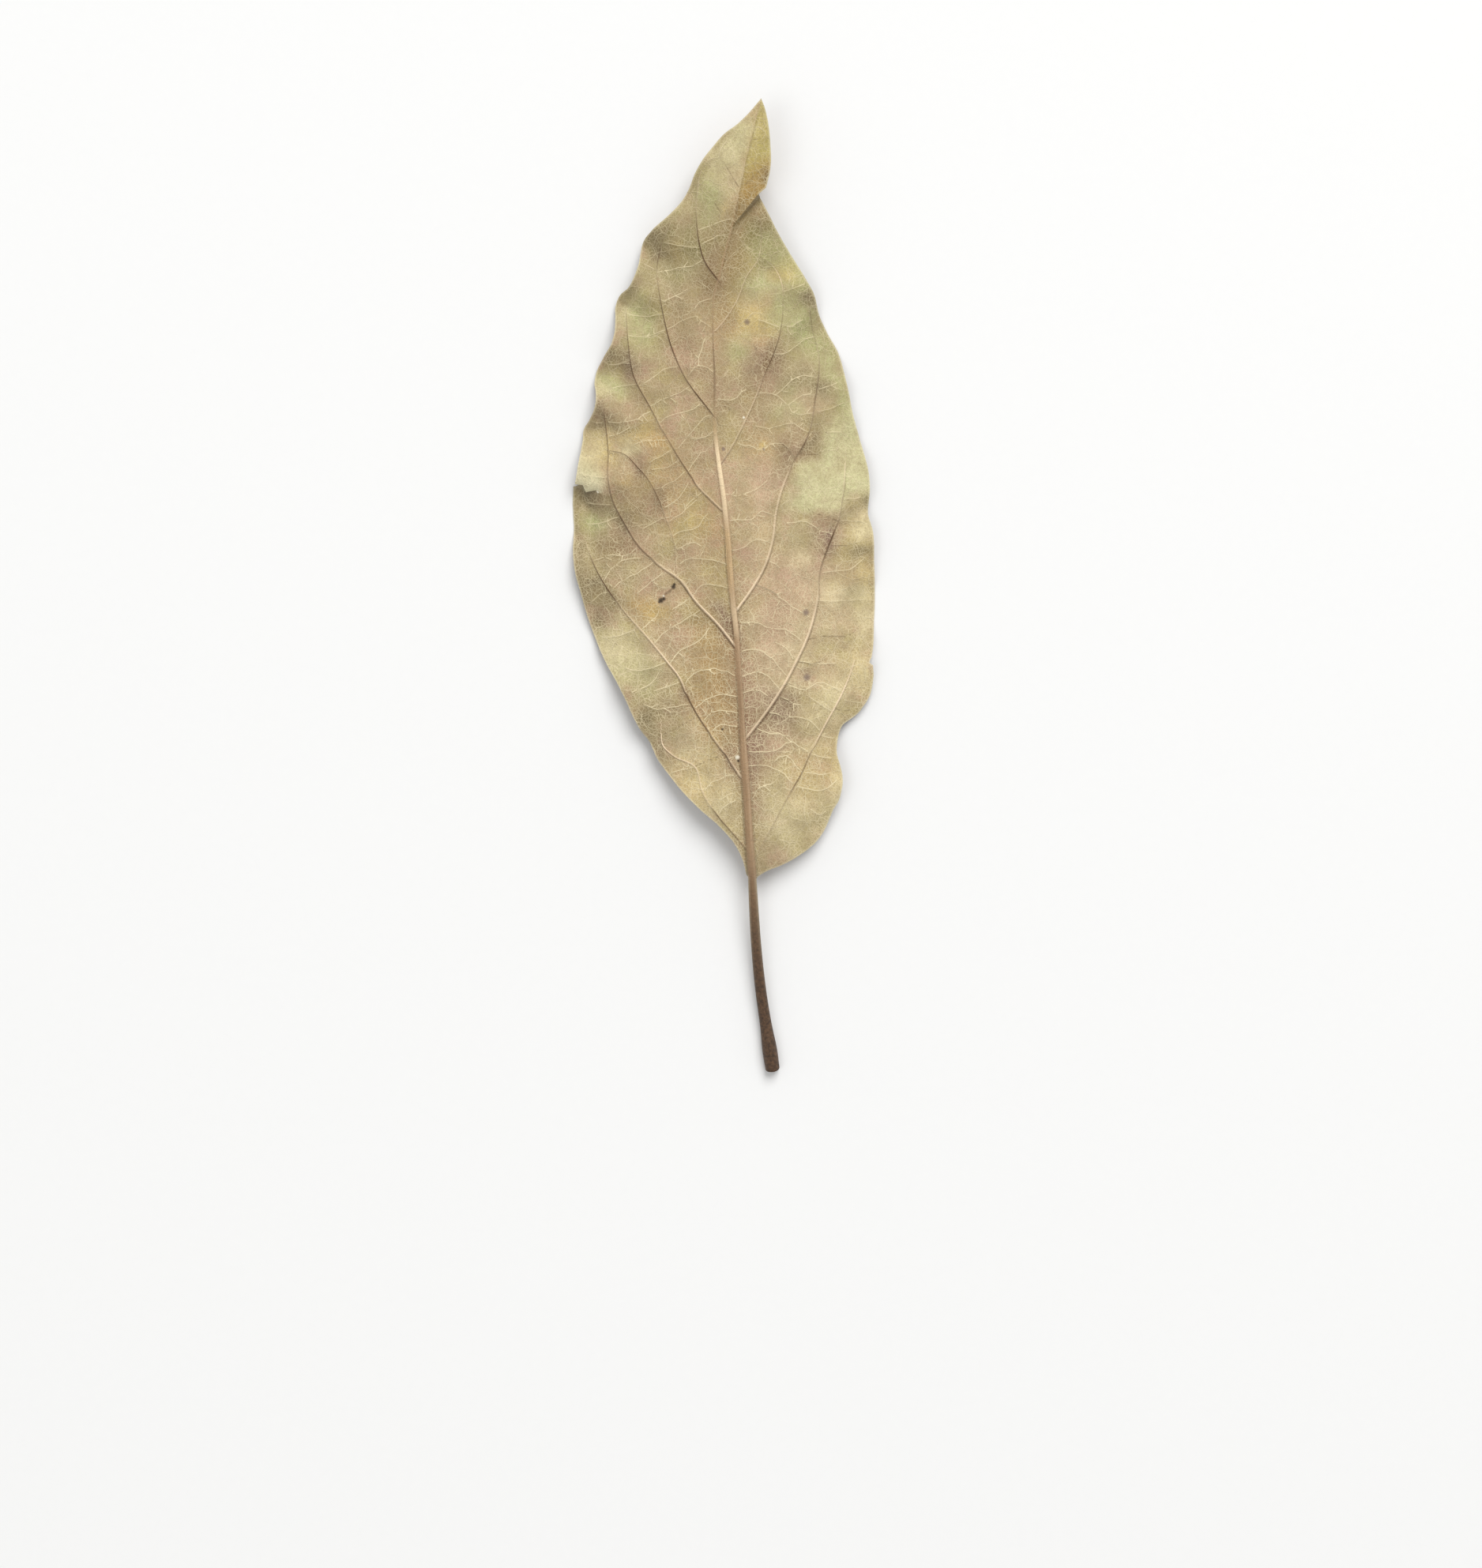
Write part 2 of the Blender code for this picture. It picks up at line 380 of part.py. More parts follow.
def margin_runs(step):
    """Returns the outline counterclockwise from the tip, as runs that share no points."""
    axis = even_line(STALK + MIDRIB[:1], step)
    ahead = np.gradient(axis, axis=0)
    ahead /= np.linalg.norm(ahead, axis=1)[:, None]
    leftward = np.column_stack([-ahead[:, 1], ahead[:, 0]])
    width = along(RIB_HALF_WIDTH, axis[:, 1])[:, None]
    left_side = (axis + leftward * width)[::-1]
    right_side = axis - leftward * width
    end, back, across = axis[0], -ahead[0], leftward[0]
    cap = []
    for degrees in STALK_END_ANGLES:
        angle = math.radians(degrees)
        cap.append(end + across * width[0] * math.cos(angle) + back * STALK_END_BULGE * math.sin(angle))
    left_lower = even_line(LEFT_LOWER, step)
    return [
        even_line(LEFT_UPPER, step),
        np.array(TEAR_UPPER_LIP + [TEAR_END] + TEAR_LOWER_LIP),
        left_lower[:-1],
        left_side,
        np.array(cap),
        right_side[:-1],
        even_line(RIGHT_LOWER, step),
        np.array(RIGHT_NICK),
        even_line(RIGHT_UPPER, step),
        even_line(RIGHT_TIP, step)[:-1],
    ]


def wave(y, places):
    """Returns 1 at a margin's crests, -1 at its hollows, and a smooth curve between them."""
    order = np.arange(len(places))
    return np.cos(math.pi * np.interp(y, places[::-1], order[::-1]))


def tip_fold(x, y, offset):
    """Returns how far the folded tip is lifted."""
    outer, inner = np.array(TIP_FOLD_OUTER), np.array(TIP_FOLD_INNER)
    ahead = (outer - inner) / np.linalg.norm(outer - inner)
    beyond = (y - inner[1]) * ahead[0] - (x - inner[0]) * ahead[1]
    rise = np.clip(offset, 0.0, None) * TIP_FOLD_SLOPE
    rise = TIP_FOLD_HEIGHT * np.tanh(rise / TIP_FOLD_HEIGHT)
    return rise * smooth_step(beyond / TIP_FOLD_STEP)


def tear_step(x, y):
    """Returns the lift of the flap above the tear and the drop of the blade below it."""
    line = np.array(TEAR_LINE)
    above = y - np.interp(x, line[:, 0], line[:, 1])
    inward = smooth_step((TEAR_END[0] - x) / TEAR_REACH)
    fade = np.exp(-((above / TEAR_LENGTH) ** 2))
    return inward * fade * np.where(above > 0.0, TEAR_RISE, -TEAR_DROP)


def blade_height(x, y, margin_gap):
    """Returns the height of the blade's middle surface, without the tear."""
    offset = x - np.interp(y, rib_axis()[:, 1], rib_axis()[:, 0])
    run = np.sqrt(offset**2 + RIDGE_ROUNDING**2) - RIDGE_ROUNDING
    left = offset < 0
    height = along(RIDGE_HEIGHT, y) - np.where(left, along(LEFT_FALL, y), along(RIGHT_FALL, y)) * run
    place = y + WAVE_LEAN * margin_gap
    left_rise = along(LEFT_WAVE_RISE, y) * wave(place, LEFT_WAVES) * np.exp(-((margin_gap / LEFT_WAVE_REACH) ** 2))
    right_rise = along(RIGHT_WAVE_RISE, y) * wave(place, RIGHT_WAVES) * np.exp(-((margin_gap / RIGHT_WAVE_REACH) ** 2))
    on_blade = smooth_step(y / BASE_CALM) * smooth_step(np.abs(offset) / RIB_CALM)
    height = height + np.where(left, left_rise, right_rise) * on_blade
    for sx, sy, radius, rise in SWELLINGS:
        height = height + rise * np.exp(-((x - sx) ** 2 + (y - sy) ** 2) / radius**2)
    for along_x, along_y, phase in PUCKERS:
        height = height + PUCKER_HEIGHT * np.sin(along_x * x + along_y * y + phase) * on_blade
    height = height + tip_fold(x, y, offset)
    for sx, sy in RESTING_SPOTS:
        flatness = 1.0 - smooth_step((np.hypot(x - sx, y - sy) - RESTING_RADIUS) / RESTING_FADE)
        height = height + flatness * (BLADE_THICKNESS / 2 - RESTING_PRESS - height)
    return height


def vein_relief(x, y):
    """Returns how far the side veins and the net stand above the blade."""
    relief = np.zeros(x.shape)
    for vein in SIDE_VEINS:
        gap, place = nearest_on_line(x, y, smooth_line(vein, VEIN_STEP))
        half_width = SIDE_VEIN_FOOT[0] + (SIDE_VEIN_TIP[0] - SIDE_VEIN_FOOT[0]) * place
        rise = SIDE_VEIN_FOOT[1] + (SIDE_VEIN_TIP[1] - SIDE_VEIN_FOOT[1]) * place
        relief = np.maximum(relief, rise * np.clip(1.0 - (gap / half_width) ** 2, 0.0, 1.0))
    for strand in NET_STRANDS:
        gap, _ = nearest_on_line(x, y, smooth_line(strand, NET_STEP))
        relief = np.maximum(relief, NET_RELIEF * np.clip(1.0 - (gap / NET_HALF_WIDTH) ** 2, 0.0, 1.0))
    return relief


def face_heights(x, y, margin_gap):
    """Returns the heights of the leaf's upper and lower faces, both resting no lower than the surface."""
    middle = blade_height(x, y, margin_gap)
    reach = SLOPE_REACH
    slope_x = (blade_height(x + reach, y, margin_gap) - blade_height(x - reach, y, margin_gap)) / (2 * reach)
    slope_y = (blade_height(x, y + reach, margin_gap) - blade_height(x, y - reach, margin_gap)) / (2 * reach)
    steepness = np.minimum(np.sqrt(1 + slope_x**2 + slope_y**2), STEEPEST_THICKENING)
    half = BLADE_THICKNESS / 2 * steepness
    middle = middle + tear_step(x, y)
    gap, _ = nearest_on_line(x, y, rib_axis())
    crown = np.sqrt(np.clip(1.0 - (gap / along(RIB_HALF_WIDTH, y)) ** 2, 0.0, 1.0))
    top = middle + half + np.maximum(vein_relief(x, y), along(RIB_TOP_RELIEF, y) * crown)
    under = middle - half - along(RIB_UNDER_RELIEF, y) * crown
    lift = np.clip(-under, 0.0, None)
    return top + lift, under + lift


def turn(a, b, c):
    """Returns twice the signed area of the triangles a, b, c."""
    return (b[..., 0] - a[..., 0]) * (c[..., 1] - a[..., 1]) - (b[..., 1] - a[..., 1]) * (c[..., 0] - a[..., 0])


class Plan:
    """The points of the leaf's plan and the lines that its triangles keep to."""

    def __init__(self, outline):
        self.points = [tuple(p) for p in outline]
        self.lines = []
        self.outline_count = len(self.points)
        self.outline = np.vstack([outline, outline[:1]])

    def clear_of(self, point, gap):
        """Says whether a point is a gap away from all points, and most of a gap away from all lines."""
        known = np.array(self.points)
        if np.hypot(*(known - point).T).min() < gap:
            return False
        if not self.lines:
            return True
        start, end = (known[np.array(self.lines)[:, k]] for k in (0, 1))
        span = end - start
        t = np.clip(((point - start) * span).sum(axis=1) / (span**2).sum(axis=1), 0.0, 1.0)
        return np.hypot(*(start + t[:, None] * span - point).T).min() >= gap * LINE_CLEARANCE

    def crosses(self, start, end):
        """Says whether a line between two points would cross one that is already there."""
        if not self.lines:
            return False
        known = np.array(self.points)
        a, b = (known[np.array(self.lines)[:, k]] for k in (0, 1))
        c, d = known[start], known[end]
        apart = turn(a, b, c) * turn(a, b, d) < 0
        return bool(np.any(apart & (turn(c, d, a) * turn(c, d, b) < 0)))

    def inside(self, points):
        """Says which points are inside the outline."""
        x, y = points[:, 0], points[:, 1]
        crossings = np.zeros(len(points), int)
        for (ax, ay), (bx, by) in zip(self.outline[:-1], self.outline[1:]):
            spans = (ay > y) != (by > y)
            if ay != by:
                crossings += spans & (x < ax + (y - ay) * (bx - ax) / (by - ay))
        return crossings % 2 == 1

    def margin_gap(self, points):
        return nearest_on_line(points[:, 0], points[:, 1], self.outline)[0]

    def lay(self, points, gaps, linked):
        """Adds the points that are clear of all others, and links the ones that follow each other."""
        gap, margin = gaps
        fits = self.inside(points) & (self.margin_gap(points) >= margin)
        last = None
        for point, fit in zip(points, fits):
            if not fit or not self.clear_of(point, gap):
                last = None
                continue
            self.points.append(tuple(point))
            newest = len(self.points) - 1
            if linked and last is not None and not self.crosses(last, newest):
                self.lines.append((last, newest))
            last = newest


def beside(line, distance):
    """Returns the line moved sideways by a distance, or by one distance for each point."""
    ahead = np.gradient(line, axis=0)
    ahead /= np.linalg.norm(ahead, axis=1)[:, None]
    return line + np.column_stack([-ahead[:, 1], ahead[:, 0]]) * np.reshape(distance, (-1, 1))


def leaf_plan():
    """Lays the outline, the ribs' crests and flanks, the net and the points between them."""
    plan = Plan(np.vstack(margin_runs(MARGIN_STEP)))
    crest = even_line(STALK + MIDRIB, VEIN_STEP)[:-1]
    half = along(RIB_HALF_WIDTH, crest[:, 1])
    plan.lay(crest, CREST_GAPS, True)
    on_blade = crest[:, 1] > BLADE_FOOT
    for side in (-1, 1):
        shoulder = beside(crest, side * STALK_SHOULDER * half)
        plan.lay(shoulder[~on_blade], SHOULDER_GAPS, True)
        flank = beside(crest, side * np.maximum(half, LEAST_FLANK))
        plan.lay(flank[on_blade], FLANK_GAPS, True)
    for vein in SIDE_VEINS:
        plan.lay(even_line(vein, VEIN_STEP), VEIN_GAPS, True)
    for vein in SIDE_VEINS:
        line = even_line(vein, VEIN_STEP)
        for side in (-1, 1):
            plan.lay(beside(line, side * SIDE_VEIN_FOOT[0]), VEIN_SIDE_GAPS, False)
    for strand in NET_STRANDS:
        plan.lay(even_line(strand, NET_STEP), NET_GAPS, True)
    low, high = plan.outline.min(axis=0), plan.outline.max(axis=0)
    row_gap = FILL_STEP * math.sin(math.radians(60))
    for row in range(int((high[1] - low[1]) / row_gap)):
        start = low[0] + (row % 2) * FILL_STEP / 2
        xs = np.arange(start, high[0], FILL_STEP)
        plan.lay(np.column_stack([xs, np.full(len(xs), low[1] + row * row_gap)]), FILL_GAPS, False)
    return plan


def leaf_sheet(plan):
    """Returns a flat bmesh of the plan, its triangles following the plan's lines."""
    points = [Vector(p) for p in plan.points]
    ring = list(range(plan.outline_count))
    inside_only = 1
    spots, _, triangles, _, _, _ = delaunay_2d_cdt(points, plan.lines, [ring], inside_only, MEETING_GAP)
    sheet = bmesh.new()
    corners = [sheet.verts.new((p.x, p.y, 0.0)) for p in spots]
    for triangle in triangles:
        sheet.faces.new([corners[i] for i in triangle])
    sheet.normal_update()
    return sheet


def raise_leaf(sheet, plan):
    """Thickens the sheet and gives its two faces their heights, in the leaf's plan millimetres."""
    grown = bmesh.ops.extrude_face_region(sheet, geom=sheet.faces[:], use_keep_orig=True)
    upper = {v for v in grown["geom"] if isinstance(v, bmesh.types.BMVert)}
    plan_points = np.array([v.co[:2] for v in sheet.verts])
    top, under = face_heights(plan_points[:, 0], plan_points[:, 1], plan.margin_gap(plan_points))
    for corner, high, low in zip(sheet.verts, top, under):
        corner.co.z = high if corner in upper else low
    bmesh.ops.triangulate(sheet, faces=sheet.faces[:])
    bmesh.ops.recalc_face_normals(sheet, faces=sheet.faces[:])


def stand_on_origin(sheet):
    """Scales to metres and puts the origin under the middle of the leaf's box."""
    spots = np.array([v.co[:] for v in sheet.verts])
    low, high = spots.min(axis=0), spots.max(axis=0)
    centre = Vector(((low[0] + high[0]) / 2, (low[1] + high[1]) / 2, low[2]))
    for corner in sheet.verts:
        corner.co = (corner.co - centre) * MM


def leaf_material():
    material = bpy.data.materials.new("dry_leaf")
    material.use_nodes = True
    shader = material.node_tree.nodes["Principled BSDF"]
    shader.inputs["Base Color"].default_value = LEAF_COLOUR
    shader.inputs["Roughness"].default_value = LEAF_ROUGHNESS
    shader.inputs["Metallic"].default_value = 0.0
    return material


def make_leaf(collection):
    plan = leaf_plan()
    sheet = leaf_sheet(plan)
    raise_leaf(sheet, plan)
    stand_on_origin(sheet)
    mesh = bpy.data.meshes.new(LEAF_NAME)
    sheet.to_mesh(mesh)
    sheet.free()
    mesh.materials.append(leaf_material())
    mesh.shade_smooth()
    mesh.set_sharp_from_angle(angle=math.radians(SHARP_ANGLE))
    leaf = bpy.data.objects.new(LEAF_NAME, mesh)
    collection.objects.link(leaf)
    return leaf


def main():
    for old in list(bpy.data.objects):
        bpy.data.objects.remove(old, do_unlink=True)
    collection = bpy.data.collections.new("dried_avocado_leaf")
    bpy.context.scene.collection.children.link(collection)
    make_leaf(collection)


main()
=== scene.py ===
"""The looks of a dried avocado leaf that lies on a pale surface with its veined side up.

A finer leaf stands for the solid one. It has the same outline, waves, tear and folded tip, with a thinner blade, and
the net, wrinkles, pits and ragged margin that the solid leaves out. One node material colours it.

Plan sizes are millimetres. +Y runs from the blade's base to its tip, and +Z is up.
"""

import math

import bmesh
import bpy
import numpy as np
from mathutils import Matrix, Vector
from mathutils.geometry import delaunay_2d_cdt


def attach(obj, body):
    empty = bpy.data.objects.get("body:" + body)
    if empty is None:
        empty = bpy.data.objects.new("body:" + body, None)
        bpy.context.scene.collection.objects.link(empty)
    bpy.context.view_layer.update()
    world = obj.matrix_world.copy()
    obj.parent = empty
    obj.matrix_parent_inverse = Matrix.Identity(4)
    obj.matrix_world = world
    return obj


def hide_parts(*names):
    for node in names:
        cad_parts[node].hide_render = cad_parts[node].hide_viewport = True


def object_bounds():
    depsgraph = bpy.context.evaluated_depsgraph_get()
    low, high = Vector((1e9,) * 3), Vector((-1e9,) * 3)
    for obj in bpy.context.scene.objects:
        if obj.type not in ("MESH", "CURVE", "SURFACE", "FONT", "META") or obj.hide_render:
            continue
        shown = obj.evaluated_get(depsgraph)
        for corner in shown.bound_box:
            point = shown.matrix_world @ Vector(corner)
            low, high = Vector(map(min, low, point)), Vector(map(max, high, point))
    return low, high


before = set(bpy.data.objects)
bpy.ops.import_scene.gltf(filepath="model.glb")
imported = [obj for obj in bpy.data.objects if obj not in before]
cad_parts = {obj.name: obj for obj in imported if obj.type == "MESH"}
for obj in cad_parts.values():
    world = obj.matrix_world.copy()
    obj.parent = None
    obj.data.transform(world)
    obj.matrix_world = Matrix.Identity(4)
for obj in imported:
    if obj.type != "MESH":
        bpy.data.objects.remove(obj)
CAD_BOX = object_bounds()

MM = 0.001
SKIN_NAME = "leaf_skin"

# The stalk's axis from its cut end to the blade's base, and the midrib's from there to the tip.
STALK = [(4.6, -34), (3.7, -28), (2.5, -20), (1.7, -12), (1.25, -5)]
MIDRIB = [
    (1, 0), (0.5, 7), (0, 15.4), (-0.45, 21.3), (-0.9, 29), (-1.4, 36.4), (-1.9, 44), (-2.32, 47.5), (-2.95, 54.4),
    (-3.3, 59.8), (-3.68, 63.5), (-4.1, 67.3), (-4.84, 72.4), (-5.5, 78), (-5.6, 87.5), (-5.9, 97.6), (-5.6, 102.7),
    (-5, 104.7), (-3.9, 109.2), (-3.1, 112.3), (-2.2, 115.8), (-1.6, 119.3), (-0.8, 122.9), (-0.1, 126.4),
    (0.8, 129.9), (1.7, 133.5), (2.5, 136.3),
]

# Each table gives a size at places along the leaf's length, as (y, size).
RIB_HALF_WIDTH = [
    (-34, 1.25), (-31, 1.32), (-27, 1.08), (-18, 0.95), (-5, 0.82), (0, 0.74), (12, 0.66), (21, 0.64), (26, 0.52),
    (50, 0.5), (66, 0.46), (80, 0.33), (92, 0.22), (136.5, 0.16),
]
RIB_TOP_RELIEF = [
    (-34, 0.85), (-31, 0.98), (-27, 0.76), (-18, 0.64), (0, 0.62), (15, 0.5), (45, 0.36), (72, 0.29), (80, 0.12),
    (92, 0.06), (136.5, 0.03),
]
RIB_UNDER_RELIEF = [
    (-34, 0.85), (-31, 0.98), (-27, 0.76), (-18, 0.64), (0, 0.5), (15, 0.3), (45, 0.15), (92, 0.05), (136.5, 0),
]
RIDGE_HEIGHT = [
    (-34, 1.05), (-28, 1.15), (-18, 1.9), (0, 4.1), (15, 5.5), (35, 6.8), (60, 7.4), (80, 7.1), (100, 6.3),
    (113, 5.9), (125, 6.3), (136.5, 7),
]
LEFT_FALL = [
    (-34, 0.1), (0, 0.16), (20, 0.2), (45, 0.23), (62, 0.243), (80, 0.24), (101, 0.26), (115, 0.2), (136.5, 0.1),
]
RIGHT_FALL = [
    (-34, 0.1), (0, 0.16), (20, 0.22), (47, 0.278), (60, 0.25), (78, 0.235), (95, 0.302), (112, 0.24), (136.5, 0.1),
]
RIDGE_ROUNDING = 2.0

# The margin, from the tip down the left side and up the right side, as smooth runs that meet at corners.
LEFT_UPPER = [
    (2.56, 136.5), (0.4, 134), (-1.6, 132.1), (-3.9, 130.4), (-6.1, 128), (-7.9, 125.6), (-9.1, 123.6),
    (-10.3, 120.8), (-11.7, 118.6), (-14.2, 116), (-16.7, 113.8), (-18.2, 112.2), (-18.75, 110.2), (-19, 108.2),
    (-19.6, 106.2), (-20.8, 103.9), (-22.4, 102.7), (-23.2, 100.9), (-23.2, 98.6), (-23.3, 96.1), (-23.9, 93.8),
    (-25.3, 91.6), (-26.5, 89.5), (-26.9, 87.3), (-26.6, 85), (-26.8, 82.7), (-27.75, 80.7), (-28.8, 79.2),
    (-29, 76.9), (-29.5, 73.9), (-30, 70.9), (-30.3, 69.2),
]
TEAR_UPPER_LIP = [(-28.95, 68.95), (-28.4, 67.75), (-26.4, 68.1)]
TEAR_END = (-25.8, 67.8)
TEAR_LOWER_LIP = [(-26.5, 67.95), (-28.43, 67.58), (-29.05, 68.8)]
LEFT_LOWER = [
    (-30.7, 68.5), (-30.8, 66.1), (-30.6, 62.2), (-30.7, 57.3), (-30.35, 53.9), (-29.3, 50), (-28.2, 46.1),
    (-26.8, 42.2), (-24.9, 37.8), (-22.9, 34.2), (-21.2, 30.8), (-20, 28.1), (-18.8, 25.9), (-17.1, 23.7),
    (-15.9, 21), (-13.7, 17.9), (-10.8, 14.4), (-7.85, 11.5), (-5.65, 9.6), (-3.6, 7.6), (-1.9, 5.4), (-0.6, 2.6),
    (0.05, 0),
]
RIGHT_LOWER = [
    (1.95, 0), (3.4, 0.9), (6.2, 2), (9.6, 3.9), (12.2, 6), (14, 8.6), (14.75, 10.4), (15.4, 11.9), (16.25, 13.3),
    (16.8, 15.3), (17, 17.3), (16.6, 19.5), (16, 21.5), (16.1, 24), (16.4, 25.5), (17, 26.7), (18.3, 27.7),
    (19.6, 28.7), (20.8, 30.2), (21.8, 31.9), (22.3, 33.9), (22.5, 35.9), (22.4, 37.3),
]
RIGHT_NICK = [(21.8, 37.8)]
RIGHT_UPPER = [
    (22.2, 38.9), (22.4, 40.3), (22.6, 44.7), (22.75, 50.5), (22.6, 55.9), (22.4, 60.7), (21.5, 64.6), (21.6, 65.8),
    (21.8, 68.3), (21.6, 71.4), (20.9, 74.4), (19.9, 77.9), (18.9, 81.5), (18.2, 85), (17.3, 89), (16.3, 92.6),
    (14.3, 96.3), (12.8, 99.6), (12, 102.7), (10.5, 105.4), (8.75, 108.2), (7, 111), (5.2, 114), (3.7, 116.9),
    (2.6, 118.9), (2.2, 119.6),
]
RIGHT_TIP = [(3.4, 120.6), (4, 122.9), (4.3, 125.6), (4.2, 127.9), (3.9, 131.4), (3.2, 134.7), (2.56, 136.5)]
STALK_END_BULGE = 0.6

# Crests and hollows of the margin's waves, each list starting with a crest: the places along Y where they follow each
# other, then how far they rise and fall and how far they reach into the blade.
LEFT_WAVES = [
    126.0, 119.5, 114.9, 111.4, 105.0, 101.6, 93.8, 89.6, 83.5, 79.0, 71.5, 63.5, 54.0, 43.0, 30.6, 22.0, 12.0,
]
LEFT_WAVE_RISE = [(0, 0.1), (20, 0.4), (45, 0.7), (63, 0.8), (78, 1.1), (112, 1.1), (126, 0.3), (136.5, 0)]
LEFT_WAVE_REACH = 6.5
RIGHT_WAVES = [117.0, 110.0, 103.5, 96.5, 87.5, 78.0, 68.0, 65.0, 60.5, 47.5, 36.5, 26.0, 16.0, 5.0]
RIGHT_WAVE_RISE = [
    (0, 0.1), (16, 0.7), (26, 0.75), (46, 0.5), (63, 0.65), (96, 0.55), (112, 0.3), (119, 0), (136.5, 0),
]
RIGHT_WAVE_REACH = 8.0

# The waves lean like the side veins: this much further down the leaf for each length away from the margin.
WAVE_LEAN = 0.6

# Soft swellings and dips of the blade away from its margins, as (x, y, radius, height).
SWELLINGS = [
    (12.5, 65.5, 6, 0.75), (15.5, 57, 4, -0.45), (-21, 71, 6, 0.4), (-15, 92, 7, 0.3), (-10, 104, 7, -0.3),
    (8, 82, 7, -0.3), (2, 92, 4, -0.3), (-21, 62.5, 4, -0.45), (-14, 36, 8, 0.35), (8, 26, 6, -0.4),
    (13, 44, 7, 0.35), (-12, 56, 8, -0.3), (6, 104, 6, 0.35), (-13, 76, 6, 0.25),
]

# Fine puckers all over the blade, as waves that cross each other: (waviness along X, along Y, phase).
PUCKER_HEIGHT = 0.09
PUCKERS = [(0.95, 0.42, 0), (-0.35, 0.88, 1), (0.62, -0.71, 2.3), (1.21, 0.16, 4), (0.18, 1.17, 5.1)]

# The waves and puckers fade out towards the blade's base and the midrib, over these lengths.
BASE_CALM = 10.0
RIB_CALM = 6.0

# Where the margin touches the surface, as (x, y). The blade lies flat there within a radius, pressed down a little,
# and rises back to its form over a further distance.
RESTING_SPOTS = [(-30.1, 63.3), (22, 47.2), (14.2, 94.8)]
RESTING_RADIUS = 1.5
RESTING_FADE = 5.0
RESTING_PRESS = 0.02

# The tip's right half is folded up along a line from the midrib to the margin, so a step runs beside that line.
TIP_FOLD = [(-2.3, 114.45), (2.15, 119.5), (4.6, 120.5)]
TIP_FOLD_START = -0.35
TIP_FOLD_STEP = 0.5
TIP_FOLD_SLOPE = 0.66
TIP_FOLD_HEIGHT = 3.1

# The flap above the tear stands proud of the blade below it, which slips under it.
TEAR_LINE = [(-31.5, 68.7), (-29, 68.87), (-28.42, 67.66), (-26.45, 68.02), (-25.8, 67.8)]
TEAR_RISE = 1.0
TEAR_DROP = 0.5
TEAR_REACH = 4.0
TEAR_LENGTH = 6.0
TEAR_OVERLAP = 0.7

# Side veins, each from its foot at the midrib or at another vein to its end.
SIDE_VEINS = [
    [(-5, 104.7), (-7.4, 108.2), (-8.4, 111.8), (-8.8, 115.5), (-8.7, 119.9), (-7.9, 124), (-6.9, 125.3),
     (-5.6, 126.2)],
    [(-5.7, 80.7), (-10.7, 87.5), (-13.2, 93.1), (-14.7, 99.1), (-15.5, 103.7), (-15.8, 107.2), (-15, 111.2),
     (-13.2, 115.3)],
    [(-4.3, 64.3), (-8.7, 68.8), (-11.2, 72.4), (-14.7, 78.4), (-17.2, 83), (-20, 88.5), (-20.8, 93.6),
     (-21.3, 100.1)],
    [(-2, 40.5), (-4.9, 44.2), (-8.8, 48.3), (-11.5, 52), (-14.7, 54.4), (-19.1, 58.3), (-21.5, 62.2),
     (-23.7, 66.6), (-24.4, 70.5), (-24.4, 74.9), (-25.1, 81.5)],
    [(-1, 17.6), (-4.9, 23.2), (-7.8, 27.1), (-10.3, 31.5), (-11.7, 34.9), (-13.9, 37.8), (-18.1, 42.9),
     (-22.2, 47.6), (-24.4, 50.5), (-26.4, 53.9), (-28.3, 58.6)],
    [(0.6, 4), (-2.4, 7.6), (-5, 10.6), (-7.7, 14.9), (-9.1, 19.4), (-12.9, 21.3), (-14.9, 23.5), (-15, 25.1)],
    [(-4.4, 72.4), (-2.4, 75.8), (-0.2, 80.2), (1.3, 83.6), (2.5, 86.6), (3.9, 90), (5, 92.7), (5.9, 95.7),
     (6.4, 100.1), (6.1, 104.9), (4.8, 107.4), (2.3, 109)],
    [(-5.5, 95.8), (-3.8, 97.8), (-1.5, 101.7), (-0.1, 105.4), (2.1, 108.8), (2.6, 112), (2.5, 114.8), (1.3, 117.4)],
    [(-1.75, 46.8), (0.9, 50.5), (3.1, 54.4), (4.6, 59.3), (5.1, 63.7), (6, 67.5), (8.2, 72.9), (10.7, 77.3),
     (12, 83.5), (12.8, 89.5), (12.6, 93.4), (11.9, 95.7), (11.2, 100)],
    [(-0.1, 24.4), (2.3, 27.4), (5.8, 32.5), (8.7, 37.8), (10.9, 42.7), (12.4, 48.5), (13.1, 54.4), (14.1, 57.3),
     (16, 62.4), (17, 67.1), (17.4, 72.9)],
    [(0.8, 2.1), (4.2, 8.3), (7.6, 14.6), (9.8, 18.4), (11.3, 21.8), (14, 27), (16.8, 32.2), (18.3, 35.8), (19, 38)],
    [(-12.2, 53), (-13, 59.8), (-14.4, 63.7), (-15.6, 66.6), (-17.1, 69.5), (-19.5, 72.4), (-21.5, 74.4),
     (-24, 75.1)],
]

